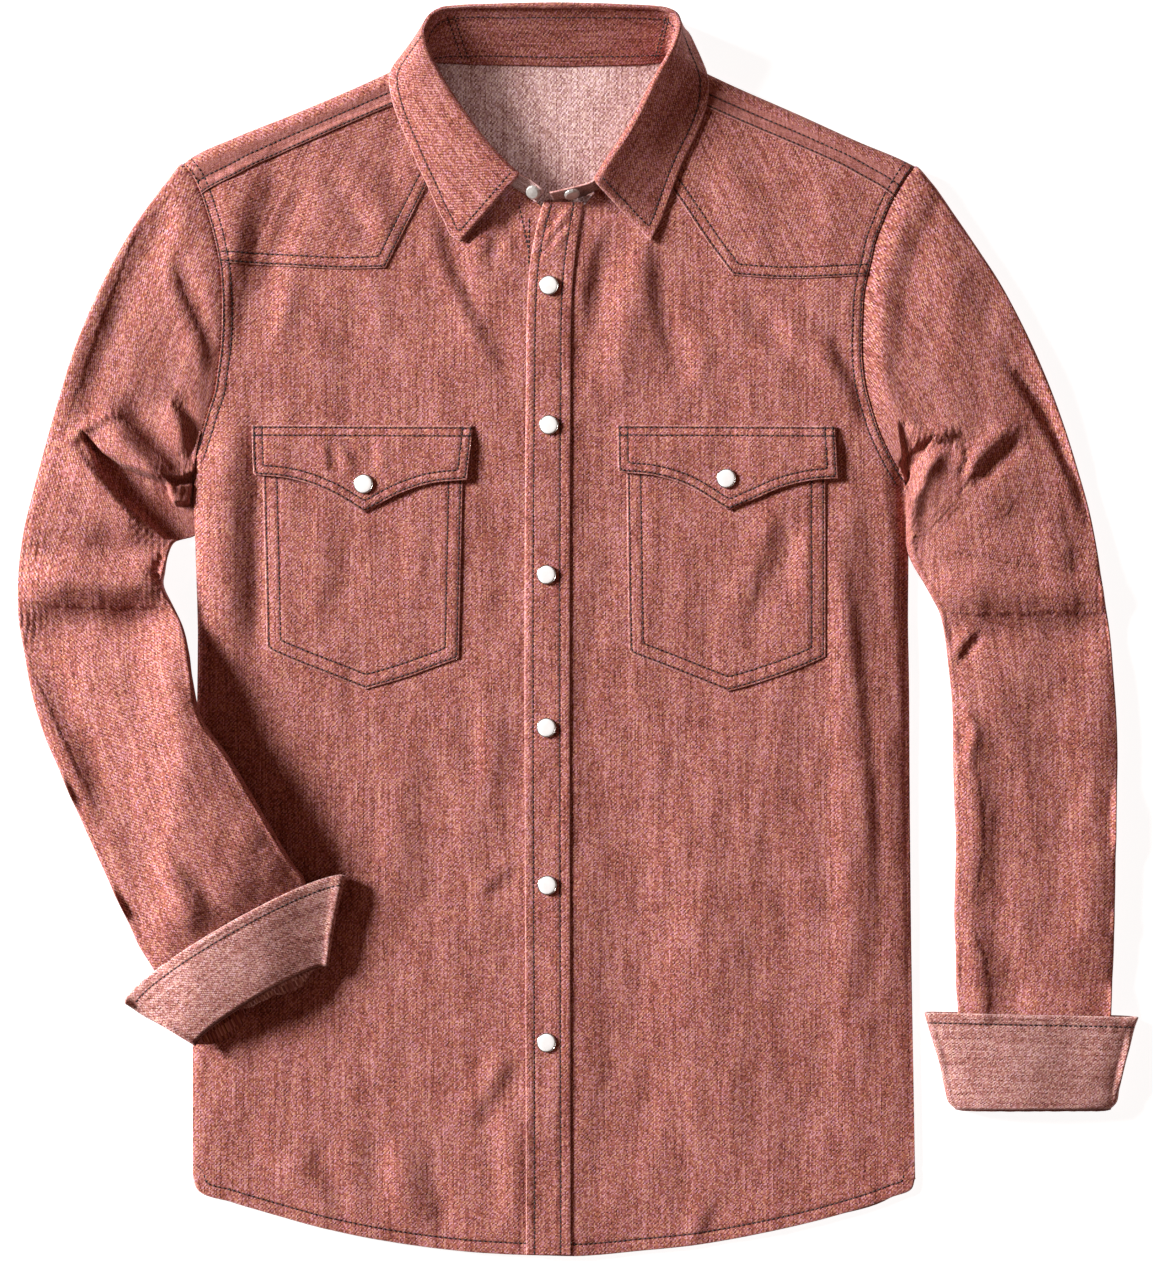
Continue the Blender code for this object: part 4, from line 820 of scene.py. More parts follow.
def make_flap(side, foot, top_left, top_right, tip, shift):
    """A flap from its straight top down to its point, with a bar tack at both ends."""
    node = "flap_" + side
    left, right = through([foot[0], (top_left, FLAP_TOP)]), through(
        [foot[-1], (top_right, FLAP_TOP - 0.6)])
    bottom = through(foot, corners=(1, tip))
    top = through([left(1.0), right(1.0)])
    plan = patch(bottom, top, left, right, spaced(138, 1.8, FLAP_ROWS, bottom.corners),
                 spaced(38, 1.8, FLAP_ROWS))
    outline = through([tuple(left(1.0))] + foot + [tuple(right(1.0))],
                      corners=(1, 2, 1 + tip, len(foot)))
    x, y, lines = plan[..., 0], plan[..., 1], [drawn(outline), drawn(top)[::-1]]
    z = settled(node, x, y, passes=3) + drape(x, y)
    z += sum(sewn(line, x, y, rows=FLAP_ROWS) for line in lines)
    flap, surface = cut_cloth(node + "_cloth", np.dstack([plan, z]), plan + shift,
                              [(line, FLAP_ROWS) for line in lines], rust_face, pale_reverse,
                              wall=FLAP_WALL)
    rows = [laid_on([surface], inset(line, away)) for line in lines for away in FLAP_ROWS]
    stitches = sew(node + "_stitches", *rows)
    low = FLAP_TOP - FLAP_ROWS[1] - 0.4
    bars = [laid_on([surface], np.linspace((edge, low), (edge + way * BAR_LENGTH, low), 8))
            for edge, way in ((top_left + 0.5, 1), (top_right - 0.5, -1))]
    bar_tacks = sew(node + "_bar_tacks", *bars, pitch=BAR_PITCH, width=BAR_WIDTH)
    declare(flap, plan, [stitches, bar_tacks])
    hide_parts(node)


make_flap("left", FLAP_FOOT_LEFT, -207.0, -66.5, tip=5, shift=(-500, 210))
make_flap("right", FLAP_FOOT_RIGHT, 25.0, 163.0, tip=5, shift=(520, 260))

# ---------------------------------------------------------------- back yoke
# One panel across the shoulders, its reverse showing down the open neck. At each shoulder it
# folds over to the front and is sewn down there, with a second row above the seam.
YOKE_SEAM_Y = 240.0
SHOULDER_ROLL = 8.0
LAYER, SEAM_LAYER = 1.85, 1.25      # what a layer adds to a shoulder's height, and at its seam
SEAM_ROWS = (1.3, 8.0)
SHOULDERS = {                       # x, fold over the shoulder, front seam
    "left": [(-251.5, 297, 277.5), (-246, 301, 280), (-220, 313, 290), (-180, 329, 307),
             (-140, 346, 324.5), (-97, 366, 343)],
    "right": [(62, 364, 341.5), (100, 346, 324.5), (140, 328.5, 307.5), (180, 310.5, 290),
              (208, 298.8, 278.5), (214.5, 295.5, 275.5)]}
NECK_FOOT = [(-97, 359), (-88, 363.5), (-72, 364), (-12, 363.5), (40, 364), (52, 363.5),
             (62, 358)]
SIDE_COLUMNS, NECK_COLUMNS = 60, 60
PLATE_ROWS, FOLD_ROWS = 24, 12
STRIP_PLACES = (0.2, 0.36, 0.45, 0.53, 0.6, 0.66, 0.74, 0.83, 0.9, 0.94, 0.975, 1.0)

front_surfaces = [under_surface, over_surface, yoke_left_surface, yoke_right_surface]


def highest(surfaces, x, y, missing=0.0):
    """Height of the highest surface over each point."""
    heights = np.full(np.shape(x), missing)
    for index in np.ndindex(heights.shape):
        start = Vector((x[index] * MM, y[index] * MM, ABOVE))
        hits = [s.ray_cast(start, Vector((0, 0, -1)))[0] for s in surfaces]
        hits = [hit.z / MM for hit in hits if hit is not None]
        heights[index] = max(hits, default=missing)
    return heights


def even_out(values, passes=1):
    """Each value but the ends moves half way to the middle of its neighbours."""
    for _ in range(passes):
        values[1:-1] = (values[:-2] + 2 * values[1:-1] + values[2:]) / 4


def shoulder_column(side, share):
    """Plan of one column: where its flat part ends, and where its front seam is."""
    x, fold, seam = through(SHOULDERS[side])(share)
    return x, fold - SHOULDER_ROLL, seam


side_shares = np.linspace(0, 1, SIDE_COLUMNS + 1)
columns = ([shoulder_column("left", s) for s in side_shares]
           + [(*through(NECK_FOOT)(s), 0) for s in np.linspace(0, 1, NECK_COLUMNS + 1)[1:-1]]
           + [shoulder_column("right", s) for s in side_shares])
columns = np.array(columns)
last = len(columns) - 1
seam_ends = [armhole_part(rows, YOKE_SEAM_Y, 290, BACK_INSET)[0][0]
             for rows in (ARMHOLE_LEFT, ARMHOLE_RIGHT)]
from_left = np.clip(1 - np.arange(last + 1) / SIDE_COLUMNS, 0, 1) ** 2
from_right = from_left[::-1]


def drawn_in(x, y, inward):
    """The armholes draw in the columns beside them."""
    hole_left = np.interp(y, *np.array(ARMHOLE_LEFT)[::-1].T[::-1]) + inward
    hole_right = np.interp(y, *np.array(ARMHOLE_RIGHT)[::-1].T[::-1]) - inward
    return (x + (hole_left - ARMHOLE_LEFT[0][0]) * from_left
            + (hole_right - ARMHOLE_RIGHT[0][0]) * from_right)


end_x, end_y, seam_y = columns.T
crest = highest(front_surfaces, end_x, end_y - 5, missing=10.0) + LAYER
even_out(crest, 30)
yoke_rows = []
for share in np.linspace(0, 1, PLATE_ROWS + 1):
    y = YOKE_SEAM_Y + (end_y - YOKE_SEAM_Y) * share
    seam_x = seam_ends[0] + (seam_ends[1] - seam_ends[0]) * np.arange(last + 1) / last
    x = seam_x + (drawn_in(end_x, y, BACK_INSET) - seam_x) * share
    yoke_rows.append(np.column_stack([x, y, np.full(last + 1, GAP)]))
for turn in np.linspace(0, math.pi, FOLD_ROWS + 1)[1:]:
    y = end_y + SHOULDER_ROLL * math.sin(turn)
    inward = BACK_INSET + (0.6 - BACK_INSET) * softly((turn - 0.5) / 0.7)
    rise = crest / 2 * (1 - math.cos(turn))
    yoke_rows.append(np.column_stack([drawn_in(end_x, y, inward), y, GAP + rise]))
for share in STRIP_PLACES:
    y = end_y + (seam_y - end_y) * share
    x = drawn_in(end_x, y, 0.6)
    yoke_rows.append(np.column_stack([x, y, np.zeros(last + 1)]))
yoke_points = np.array(yoke_rows)
strip = yoke_points[-len(STRIP_PLACES):]
strip_top = highest(front_surfaces, strip[..., 0], strip[..., 1] - 0.5, missing=0.0)
strip_top = np.where(strip_top < 5, crest - LAYER, strip_top)
even_out(strip_top.T, 3)
settle_in = softly(np.array(STRIP_PLACES) * 2)[:, None]
strip[..., 2] = crest * (1 - settle_in) + (strip_top + SEAM_LAYER) * settle_in
yoke_run = np.cumsum(np.linalg.norm(np.diff(yoke_points, axis=0), axis=2).mean(1))
yoke_run = np.concatenate([[0.0], yoke_run])
yoke_grain = np.dstack(np.broadcast_arrays(yoke_points[..., 0], 600 + yoke_run[:, None]))
seam_lines = {"left": strip[-1, :SIDE_COLUMNS + 1], "right": strip[-1, -SIDE_COLUMNS - 1:]}
for line in seam_lines.values():
    strip[..., 2] += sewn(line[:, :2], strip[..., 0], strip[..., 1], rows=SEAM_ROWS)


def cut_out_neck(piece):
    """Above the neck's foot the yoke has no cloth between the shoulders. Its right side is
    turned out: down below the plate, and up on the shoulders."""
    bm = bmesh.new()
    bm.from_mesh(piece.data)
    gone = [face for k, face in enumerate(bm.faces)
            if k // last >= PLATE_ROWS and SIDE_COLUMNS <= k % last < last - SIDE_COLUMNS]
    bmesh.ops.delete(bm, geom=gone, context="FACES")
    bmesh.ops.reverse_faces(bm, faces=bm.faces[:])
    bm.to_mesh(piece.data)
    surface, area = BVHTree.FromBMesh(bm), sum(face.calc_area() for face in bm.faces)
    bm.free()
    return surface, area


yoke_back, _ = cut_cloth("yoke_back_cloth", yoke_points, yoke_grain,
                         [(line, SEAM_ROWS) for line in seam_lines.values()],
                         rust_face, pale_reverse)
yoke_back_surface, yoke_back_area = cut_out_neck(yoke_back)
body_surfaces = front_surfaces + [yoke_back_surface, placket_surface]
seam_below = np.column_stack([np.linspace(*seam_ends, 300), np.full(300, YOKE_SEAM_Y + 2)])
yoke_back_stitches = sew(
    "yoke_back_stitches",
    *(laid_on([yoke_back_surface], inset(seam_lines["left"][:, :2], row)) for row in SEAM_ROWS),
    *(laid_on([yoke_back_surface], inset(seam_lines["right"][:, :2], row)) for row in SEAM_ROWS),
    *(laid_on([yoke_back_surface], seam_below + (0, row), down=False) for row in (0, 5)))
declare(yoke_back, yoke_grain,
        [yoke_back_stitches], area=yoke_back_area)
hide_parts("yoke_back")

# The stitches of the armhole seams run over the fronts, their yokes and the shoulders.
armhole_stitches = sew(
    "armhole_stitches",
    *(laid_on(body_surfaces, inset(armhole_lines["left"], away)) for away in ARMHOLE_ROWS),
    *(laid_on(body_surfaces, inset(armhole_lines["right"], -away)) for away in ARMHOLE_ROWS))
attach(armhole_stitches, "root")

# ---------------------------------------------------------------- sleeves
# Each sleeve is one panel rolled to a tube and set into its armhole, lying flat with its cloth
# pushed into folds at the elbow. The left one bends over, with its end on the front. Its inside
# never shows, so it has the outside's colour.
RING_POINTS_TOP, RING_POINTS_UNDER = 76, 30
RING_STEP = 1.9
SLEEVE_TUCK = 3.5                   # how far the sleeve runs in under the body's edge
TUBE_MIDDLE = 0.38                  # share of a tube's height where its two faces meet
LEAST_TOP, PIT_FLOOR = 2.4, 2.6     # how low the top face may come, plain and in a pit
HOLD_RINGS = 5                      # the armhole's curve is lost over these rings
PUFF = 1.2                          # the sleeve head rises by this beside its seam
SET_IN_REACH = 26                   # the sleeve's top meets the body's edge over this width

# Rings from the armhole down: outer edge, inner edge, height, bow.
SLEEVE_LEFT = [
    (-252.0, 297.2, -244.6, 111.8, 12.2, 0), (-266, 280, -243.6, 105, 12.0, 0),
    (-284, 255, -243.4, 96.5, 12.5, 0), (-297, 232, -243.4, 88, 13.0, 0),
    (-310, 205, -243.4, 79.5, 13.5, 0), (-320, 180, -243.4, 70, 14.5, 0),
    (-330, 148, -243.6, 61, 15.0, 2), (-338, 120, -255.5, 57, 15.5, 4),
    (-346, 90, -260, 49, 15.5, 4), (-353, 60, -262, 38, 15.0, 3), (-356, 30, -262.5, 28, 15.0, 0),
    (-355.5, 8, -257, 17, 16.0, 0), (-352, -12, -250.5, 4, 18.5, 0),
    (-347, -38, -246, -13, 22.5, 0), (-338, -67, -243.5, -30, 25.0, 0),
    (-325, -96, -238, -54, 26.0, 0), (-311.5, -128, -220, -80, 26.5, 0),
    (-299.7, -154, -205, -105, 26.0, 0), (-287.5, -179, -191, -129, 24.5, 0),
    (-278, -201, -180, -147, 22.0, 3), (-269.5, -214, -172.5, -158, 17.0, 6),
    (-255, -236, -176, -189, 8.0, 6), (-240.8, -257.2, -175, -218, 4.0, 4)]
SLEEVE_RIGHT = [
    (215.0, 295.8, 208.3, 96.8, 12.2, 0), (225, 285, 209.4, 91, 12.0, 0),
    (240, 264, 208.6, 85, 12.0, 0), (255, 242, 208.4, 79, 12.0, 0),
    (268, 222, 208.2, 73, 12.5, 0), (280, 200, 208.2, 67, 12.5, 0),
    (291, 177, 208.2, 61, 12.5, 0), (301, 153, 208.4, 55, 12.5, 0),
    (310, 128, 210, 48.5, 12.0, 0), (318, 102, 214, 40, 12.0, 0), (325, 77, 219.5, 31, 12.0, 0),
    (330, 52, 225, 21, 12.0, 0), (334, 25, 230, 11, 11.5, 0), (338, 0, 233, -3, 12.0, 0),
    (340.5, -28, 235.3, -22, 12.0, 0), (342.5, -58, 237.8, -48, 12.5, 0),
    (343, -85, 238.2, -75, 12.5, 0), (342, -112, 238.8, -103, 13.0, 0),
    (341.8, -140, 240, -132, 13.0, 0), (341.5, -165, 239.5, -160, 13.0, 0),
    (341, -185, 239, -180, 12.5, 0), (340.5, -207, 240, -205, 12.0, 0),
    (339.5, -226, 240.3, -226, 10.0, 0), (338.8, -238, 241.2, -238, 8.5, 0),
    (338.2, -268, 242.4, -268, 7.5, 0), (337.6, -300.8, 243.2, -300.8, 7.5, 0)]

# Where the cloth drops, as on the body, and its ridges and troughs: height, reach to the left
# and to the right of the run, and the run.
SLEEVE_LEFT_DROPS = [
    (5.9, 13, 10, (-260, 290), (-274, 266), (-285, 243), (-293, 222), (-301, 200), (-309, 177),
     (-316, 157), (-322, 139), (-329, 116)),
    (3.6, 6, 6, (-262, 242), (-254, 222), (-247, 205), (-239, 187), (-230, 162)),
    (-2.4, 6, 7, (-254, 278), (-260, 256), (-263, 236), (-260, 214)),
    (-2.0, 14, 12, (-270, 218), (-264, 190), (-257, 158)),
    (8.0, 8, 8, (-300, 145), (-286, 132), (-275, 121), (-265, 110), (-255, 101), (-243, 98)),
    (6.0, 5, 6, (-262, 150), (-251, 136), (-245, 122), (-240, 106)),
    (16.0, 14, 15, (-240, 16), (-275, 15), (-300, 15), (-330, 16), (-366, 19)),
    (-8.0, 10, 9, (-250, 39), (-295, 40), (-330, 43), (-362, 47)),
    (6.4, 7, 11, (-352, -2), (-345, -25), (-334, -50), (-321, -78), (-308, -104), (-294, -130)),
    (4.2, 9, 8, (-266, -130), (-251, -150), (-240, -168), (-229, -188)),
    (1.6, 7, 7, (-284, -136), (-272, -160), (-264, -186)),
    (1.4, 14, 16, (-300, 78), (-306, 50), (-312, 20)),
    (-1.8, 12, 14, (-300, -20), (-290, -60), (-272, -100), (-254, -132))]
SLEEVE_LEFT_FOLDS = [
    (3.0, 4, 4, (-330, 116), (-317, 125), (-306, 133), (-296, 137), (-284, 136)),
    (4.6, 3, 13, (-324, 122), (-308, 101), (-294, 85), (-281, 71), (-266, 57)),
    (5.0, 5, 40, (-247, -12), (-241, -46), (-225, -74), (-210, -99), (-196, -123), (-178, -154)),
    (2.4, 6, 7, (-302, 130), (-287, 117), (-271, 104), (-258, 100)),
    (-4.5, 2.5, 3, (-262, 50), (-267, 38), (-262, 28))]
SLEEVE_RIGHT_DROPS = [
    (4.0, 30, 30, (236, 250), (258, 170), (274, 80), (282, -20), (288, -120), (288, -240)),
    (3.6, 4, 5, (244, 121), (229, 121), (216, 121), (207, 124)),
    (5.4, 6, 6, (284, 130), (271, 120), (259, 109), (248, 98), (239, 95)),
    (4.0, 9, 9, (330, 38), (300, 41), (262, 46), (214, 56)),
    (10.0, 17, 14, (370, 9), (300, 12), (262, 11), (200, 15)),
    (3.2, 4, 4, (256, 2), (247, -8), (239, -22)),
    (4.6, 9, 15, (246, -62), (254, -96), (257, -130), (253, -160), (244, -186)),
    (4.2, 7, 14, (240, -170), (252, -192), (259, -215), (260, -262)),
    (-2.2, 14, 8, (312, -40), (318, -100), (318, -160), (314, -225)),
    (2.4, 10, 10, (303, 96), (310, 60), (315, 25), (318, -12)),
    (-2.4, 12, 14, (236, 88), (250, 76), (270, 62)),
    (1.6, 12, 12, (232, 262), (248, 225), (256, 185)),
    (-1.4, 10, 12, (214, 240), (222, 200), (232, 160))]
SLEEVE_RIGHT_FOLDS = [
    (-4.2, 9, 4, (266, 184), (275, 168), (284, 156), (291, 146), (298, 133), (305, 121),
     (311, 108), (317, 94), (322, 78), (326, 60)),
    (2.4, 5, 5, (281, 194), (293, 170), (303, 147), (311, 124), (318, 102), (325, 80)),
    (2.6, 4, 4, (243, 126), (226, 126), (212, 128), (204, 136)),
    (3.6, 6, 3, (242, 122), (231, 115), (223, 106), (217, 96), (213, 84), (212, 68), (213, 50)),
    (-2.6, 3, 3, (243, 121), (247, 112), (245, 103), (240, 96)),
    (3.0, 6, 3, (238, -45), (246, -54), (250, -62), (248, -74), (244, -90))]

# Deep pits between folds: how deep, how soft their rim is, and the rim in plan.
SLEEVE_LEFT_PITS = [
    (12.0, 3.5, (-315, 128), (-301, 114), (-286, 105), (-270, 99), (-260, 95), (-256, 82),
     (-247, 82), (-245, 94), (-238, 97), (-238, 54), (-262, 59), (-276, 72), (-290, 85),
     (-303, 102)),
    (7.0, 3.0, (-262, 98), (-250, 98), (-240, 104), (-240, 94), (-256, 92))]
SLEEVE_RIGHT_PITS = [
    (3.4, 4.0, (203, 132), (208, 133), (214, 127), (224, 122), (214, 119), (209, 108), (206, 112)),
    (5.0, 3.0, (200, 98), (206, 110), (215, 119), (226, 124), (221, 113), (213, 102), (208, 90))]


def pits(rows, x, y):
    """Relief of pits: down to their depth inside a rim of plan points."""
    total = np.zeros(np.shape(x))
    for depth, soft, *rim in rows:
        rim = np.array(rim, float)
        inside = np.zeros(np.shape(x), bool)
        for (ax, ay), (bx, by) in zip(rim, np.roll(rim, -1, axis=0)):
            if ay != by:
                inside ^= ((ay > y) != (by > y)) & (x < ax + (bx - ax) * (y - ay) / (by - ay))
        outline = through(np.vstack([rim, rim[:1]]), corners=range(1, len(rim)))
        away = beside(drawn(outline), x, y)[0]
        total -= depth * softly(np.where(inside, away, -away) / soft + 0.25)
    return total


def tube(rings, node, side, relief, fullness, armhole=None):
    """Points of a flattened tube of cloth, ring by ring: its outer edge, over the top to its
    inner edge, and back below. Also the same grid laid flat. The lower the fullness of its outer
    and its inner half, the steeper they rise."""
    rings = [(*row, k) for k, row in enumerate(rings)]
    shares = np.linspace(0, 1, round(through(rings).length / RING_STEP))
    if armhole is not None:
        shares = np.insert(shares, 1, 0.5 / through(rings).length)
    ox, oy, ix, iy, height, bow, order = through(rings)(shares).T[:, :, None]
    even = np.linspace(0, 1, RING_POINTS_TOP + 1)
    crowded = (even + (1 - np.cos(np.pi * even)) / 2) / 2
    angle = np.concatenate([np.arccos(1 - 2 * crowded),
                            math.pi + np.linspace(0, math.pi, RING_POINTS_UNDER + 1)[1:]])
    share = (1 - np.cos(angle)) / 2
    swell = np.abs(np.sin(angle))
    on_top = angle <= math.pi
    width = np.hypot(ix - ox, iy - oy)
    bowed = bow * swell * side
    x = ox + (ix - ox) * share - (iy - oy) / width * bowed
    y = oy + (iy - oy) * share + (ix - ox) / width * bowed
    if armhole is not None:
        hold = np.clip(1 - order / HOLD_RINGS, 0, 1) ** 1.5
        hole = through(armhole)
        straight = np.outer(1 - share, hole(0.0)) + np.outer(share, hole(1.0))
        off = hole(share) - straight
        x, y = x + hold * off[:, 0], y + hold * off[:, 1]
    under = side_of(node, start=-ABOVE, near=-0.02)
    low = np.array([under(a, b) for a, b in zip(x.flat, y.flat)]).reshape(x.shape)
    for _ in range(12):
        even_out(low)
        even_out(low.T)
    low = np.where(low < 0.4, 0.0, low)
    middle = TUBE_MIDDLE * height
    crown = swell ** (fullness[0] + (fullness[1] - fullness[0]) * softly(share * 2 - 0.5))
    plain_over = middle + (height - middle) * crown
    over = plain_over + relief(x, y) * np.clip(swell * 4, 0, 1)
    below = middle * (1 - np.clip(swell * 1.6, 0, 1) ** 0.5)
    z = low + np.where(on_top, np.maximum(over, LEAST_TOP), below)
    run = np.concatenate([[0], np.cumsum(np.hypot(*np.diff(
        np.stack([(ox + ix)[:, 0] / 2, (oy + iy)[:, 0] / 2]), axis=1)))])
    plain = np.where(on_top, plain_over, below)
    steps = np.hypot(np.diff(np.where(on_top, share, 2 - share)) * width, np.diff(plain))
    round_it = np.hstack([np.zeros_like(width), np.cumsum(steps, axis=1)])
    grain = np.dstack(np.broadcast_arrays(round_it, run[:, None]))
    return np.dstack([x, y, z]), grain, on_top


def set_in(points, on_top, line, inward, surfaces):
    """The sleeve's top comes level with the body's edge, and its end runs in under it."""
    away, _ = beside(line, points[..., 0], points[..., 1])
    near = on_top & (away < SET_IN_REACH)
    edge_x = np.interp(points[..., 1], line[::-1, 1], line[::-1, 0]) + np.sign(inward)
    held = highest(surfaces, edge_x[near], points[..., 1][near], missing=9.0) - 0.4
    free = points[..., 2][near]
    points[..., 2][near] = held + (free - held) * softly(away[near] / 14) + (
        PUFF * np.sin(np.pi * np.clip(away[near] / SET_IN_REACH, 0, 1)))
    points[0, on_top, 0] += inward
    points[0, on_top, 2] -= CLOTH + 0.5


def make_sleeve(side, rings, tables, bend, fullness, armhole, inward, surfaces, seed):
    """A sleeve round its rings, with its folds and pits, set into the armhole."""
    node = "sleeve_" + side
    drop_rows, fold_rows, pit_rows = tables

    def relief(x, y):
        return (drops(drop_rows, x, y) + folds(fold_rows, x, y) + 0.7 * ripple(x, y, 34, 60, seed)
                + 0.35 * ripple(x, y, 13, 24, seed + 3) + 0.1 * ripple(x, y, 6, 9, seed + 6))

    points, grain, on_top = tube(rings, node, bend, relief, fullness, armhole)
    line = drawn(through(armhole))
    set_in(points, on_top, line, inward, surfaces)
    x, y, z = np.moveaxis(points[1:], 2, 0)
    floor = np.where(on_top, PIT_FLOOR, 0.0)
    sunk = z + pits(pit_rows, x, y) * softly(beside(line, x, y)[0] / 4)
    points[1:, :, 2] = np.where(z > floor, np.maximum(sunk, floor), z)
    sleeve, _ = cut_cloth(node + "_cloth", points, grain, [], rust_face, rust_face, ring=True)
    declare(sleeve, grain)
    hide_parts(node)


left_tables = SLEEVE_LEFT_DROPS, SLEEVE_LEFT_FOLDS, SLEEVE_LEFT_PITS
right_tables = SLEEVE_RIGHT_DROPS, SLEEVE_RIGHT_FOLDS, SLEEVE_RIGHT_PITS
make_sleeve("left", SLEEVE_LEFT, left_tables, 1, (0.42, 0.42), ARMHOLE_LEFT, SLEEVE_TUCK,
            body_surfaces, seed=21.0)
make_sleeve("right", SLEEVE_RIGHT, right_tables, -1, (0.25, 0.65), ARMHOLE_RIGHT, -SLEEVE_TUCK,
            body_surfaces, seed=31.0)

# ---------------------------------------------------------------- cuffs
# Each cuff is a stiff double band at the sleeve's end, undone and turned back over it, so its
# pale reverse shows. It folds at the sleeve's end and stands a little open at its free edge.
CUFF_LEFT = [
    (-287, -236, -147, -155.5, 20.0, 12), (-277.5, -243.3, -150.5, -170, 19.7, 10),
    (-260.5, -251.5, -154, -186, 19.0, 9), (-252, -256.5, -156.5, -201, 18.0, 8),
    (-243, -262, -158, -212, 16.5, 7)]
CUFF_RIGHT = [
    (355.5, -244.8, 219.8, -242, 18.0, 0.5), (351.8, -258, 224.2, -257, 17.5, 0.5),
    (347, -275, 229.5, -274.5, 17.0, 0), (343.8, -290, 232.8, -290, 16.5, 0),
    (342.0, -299.5, 235.6, -299.5, 16.2, 0), (338.8, -303, 239.4, -303, 16.0, 0)]
CUFF_LEFT_DROPS = [(5.0, 26, 16, (-166, -270), (-161, -212), (-157, -176), (-152, -110))]
CUFF_RIGHT_DROPS = [(4.0, 36, 24, (328, -340), (330, -272), (334, -200))]
CUFF_ROW = 6.5

# How far the inner layers reach out past the fold: share of its width, above, below.
END_LEFT = np.array([
    (0, 0.6, 0.6), (0.03, 0.8, 4), (0.07, 0.8, 8), (0.14, 0.8, 11.6), (0.26, 0.8, 13.3),
    (0.33, 0.9, 11), (0.38, 1.2, 8), (0.42, 4.0, 5), (0.50, 4.6, 3), (0.60, 5.2, 2),
    (0.68, 7.0, 2), (0.75, 8.4, 2), (0.82, 7.0, 2), (0.88, 3.2, 1.5), (0.95, 0.9, 0.8),
    (1, 0.6, 0.6)])
END_RIGHT = np.array([(0, 0.6, 0.6), (0.05, 1.4, 0.6), (0.95, 1.4, 0.6), (1, 0.6, 0.6)])


def add_end(points, grain, on_top, table):
    """Two more rings past the fold: a groove below its edge, and the inner layers' own edge."""
    fold = points[-1, :, :2]
    across = fold[RING_POINTS_TOP] - fold[0]
    share = np.clip((fold - fold[0]) @ across / (across @ across), 0, 1)
    out = points[-1, :, :2].mean(0) - points[-4, :, :2].mean(0)
    out = out / np.linalg.norm(out)
    ragged = 1 + 0.16 * ripple(fold[:, 0], fold[:, 1], 5, 5, 71.0)
    reach = np.where(on_top, np.interp(share, table[:, 0], table[:, 1]) * ragged,
                     np.interp(share, table[:, 0], table[:, 2]))
    fall = np.where(on_top, np.clip(12 * share * (1 - share), 0, 1), 0)
    groove, end = points[-1].copy(), points[-1].copy()
    groove[:, :2] += 0.4 * out
    end[:, :2] += reach[:, None] * out
    groove[:, 2] -= 1.5 * fall
    end[:, 2] -= (1.2 + 0.12 * reach) * fall
    deeper = np.array([grain[-1] + (0, 1.6), grain[-1] + (0, 3.2)])
    return np.concatenate([points, [groove, end]]), np.concatenate([grain, deeper])


def make_cuff(side, rings, drop_rows, bend, fullness, end_table, seed):
    """A cuff turned back: from its free edge down to the fold, and on to the inner layers."""
    node = "cuff_" + side

    def relief(x, y):
        return (drops(drop_rows, x, y) + 0.4 * ripple(x, y, 30, 22, seed)
                + 0.15 * ripple(x, y, 9, 14, seed + 2))

    points, grain, on_top = tube(rings, node, bend, relief, fullness)
    free_edge, fold = points[0, on_top, :2], points[-1, on_top, :2]
    points, grain = add_end(points, grain, on_top, end_table)
    grain = grain[..., ::-1]
    x, y = points[..., 0], points[..., 1]
    points[..., 2] += np.where(on_top, sewn(free_edge, x, y, rows=(CUFF_ROW,), pull=0.3), 0)
    cuff, surface = cut_cloth(node + "_cloth", points, grain,
                              [(points[0, :, :2], ()), (free_edge, (CUFF_ROW,)), (fold, (0.4,))],
                              cuff_reverse, rust_face, ring=True)
    row = laid_on([surface], inset(drawn(through(free_edge)), -bend * CUFF_ROW))
    stitches = sew(node + "_stitches", row)
    declare(cuff, grain, [stitches])
    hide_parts(node)


make_cuff("left", CUFF_LEFT, CUFF_LEFT_DROPS, 1, (1.0, 1.3), END_LEFT,
          seed=41.0)
make_cuff("right", CUFF_RIGHT, CUFF_RIGHT_DROPS, -1, (1.1, 1.0), END_RIGHT,
          seed=51.0)

# ---------------------------------------------------------------- collar stand
# The band that carries the collar: two layers sewn to the neckline. It leans out behind the
# neck and falls forward along the fronts, with its two unsnapped ends at the throat.
COLLAR_STEP = 2.0
STAND = [                           # seam in plan, then the top edge in space
    (-26, 272, -21.5, 280, 14), (-34, 278, -30, 286.5, 14.5), (-42, 283.5, -37, 290, 15.5),
    (-49, 290, -44, 296, 16), (-58, 299.5, -53, 305, 17), (-68, 312, -63, 317, 18.5),
    (-78, 327, -73, 331, 20), (-87, 341, -82, 344, 21.5), (-95, 354, -90, 358, 23),
    (-94, 361, -95, 371, 25), (-86, 361.5, -95, 381, 26.5), (-78, 361, -89, 389, 28),
    (-68, 360.5, -79, 392.3, 29), (-40, 360, -45, 393, 30), (-12, 359.5, -12, 393.2, 30),
    (18, 360, 20, 393, 30), (40, 360.5, 46, 392.3, 30), (49, 361.5, 57, 390.5, 30),
    (57, 361.5, 62, 384, 30), (59.5, 355.5, 60.5, 375, 30), (57, 349, 55, 362, 29),
    (50, 339, 45, 345, 28), (40, 322, 35, 325, 26), (32, 308, 27, 312, 24),
    (22.5, 294, 17, 298, 22.5), (14, 282.5, 10, 286, 21.5), (2, 277.5, -1, 282, 21),
    (-8, 275.5, -10, 279.8, 21), (-16, 274.5, -18, 278, 21)]
STAND_PLACES = (0, 0.02, 0.05, 0.1, 0.16, 0.24, 0.34, 0.45, 0.56, 0.67, 0.77, 0.85, 0.91, 0.95,
                0.98, 1.0)
STAND_ROW = 0.16                    # stitching, as a share of the stand's width from each edge
STAND_WIDTH, STAND_SHIFT = 31, (0, 1500)
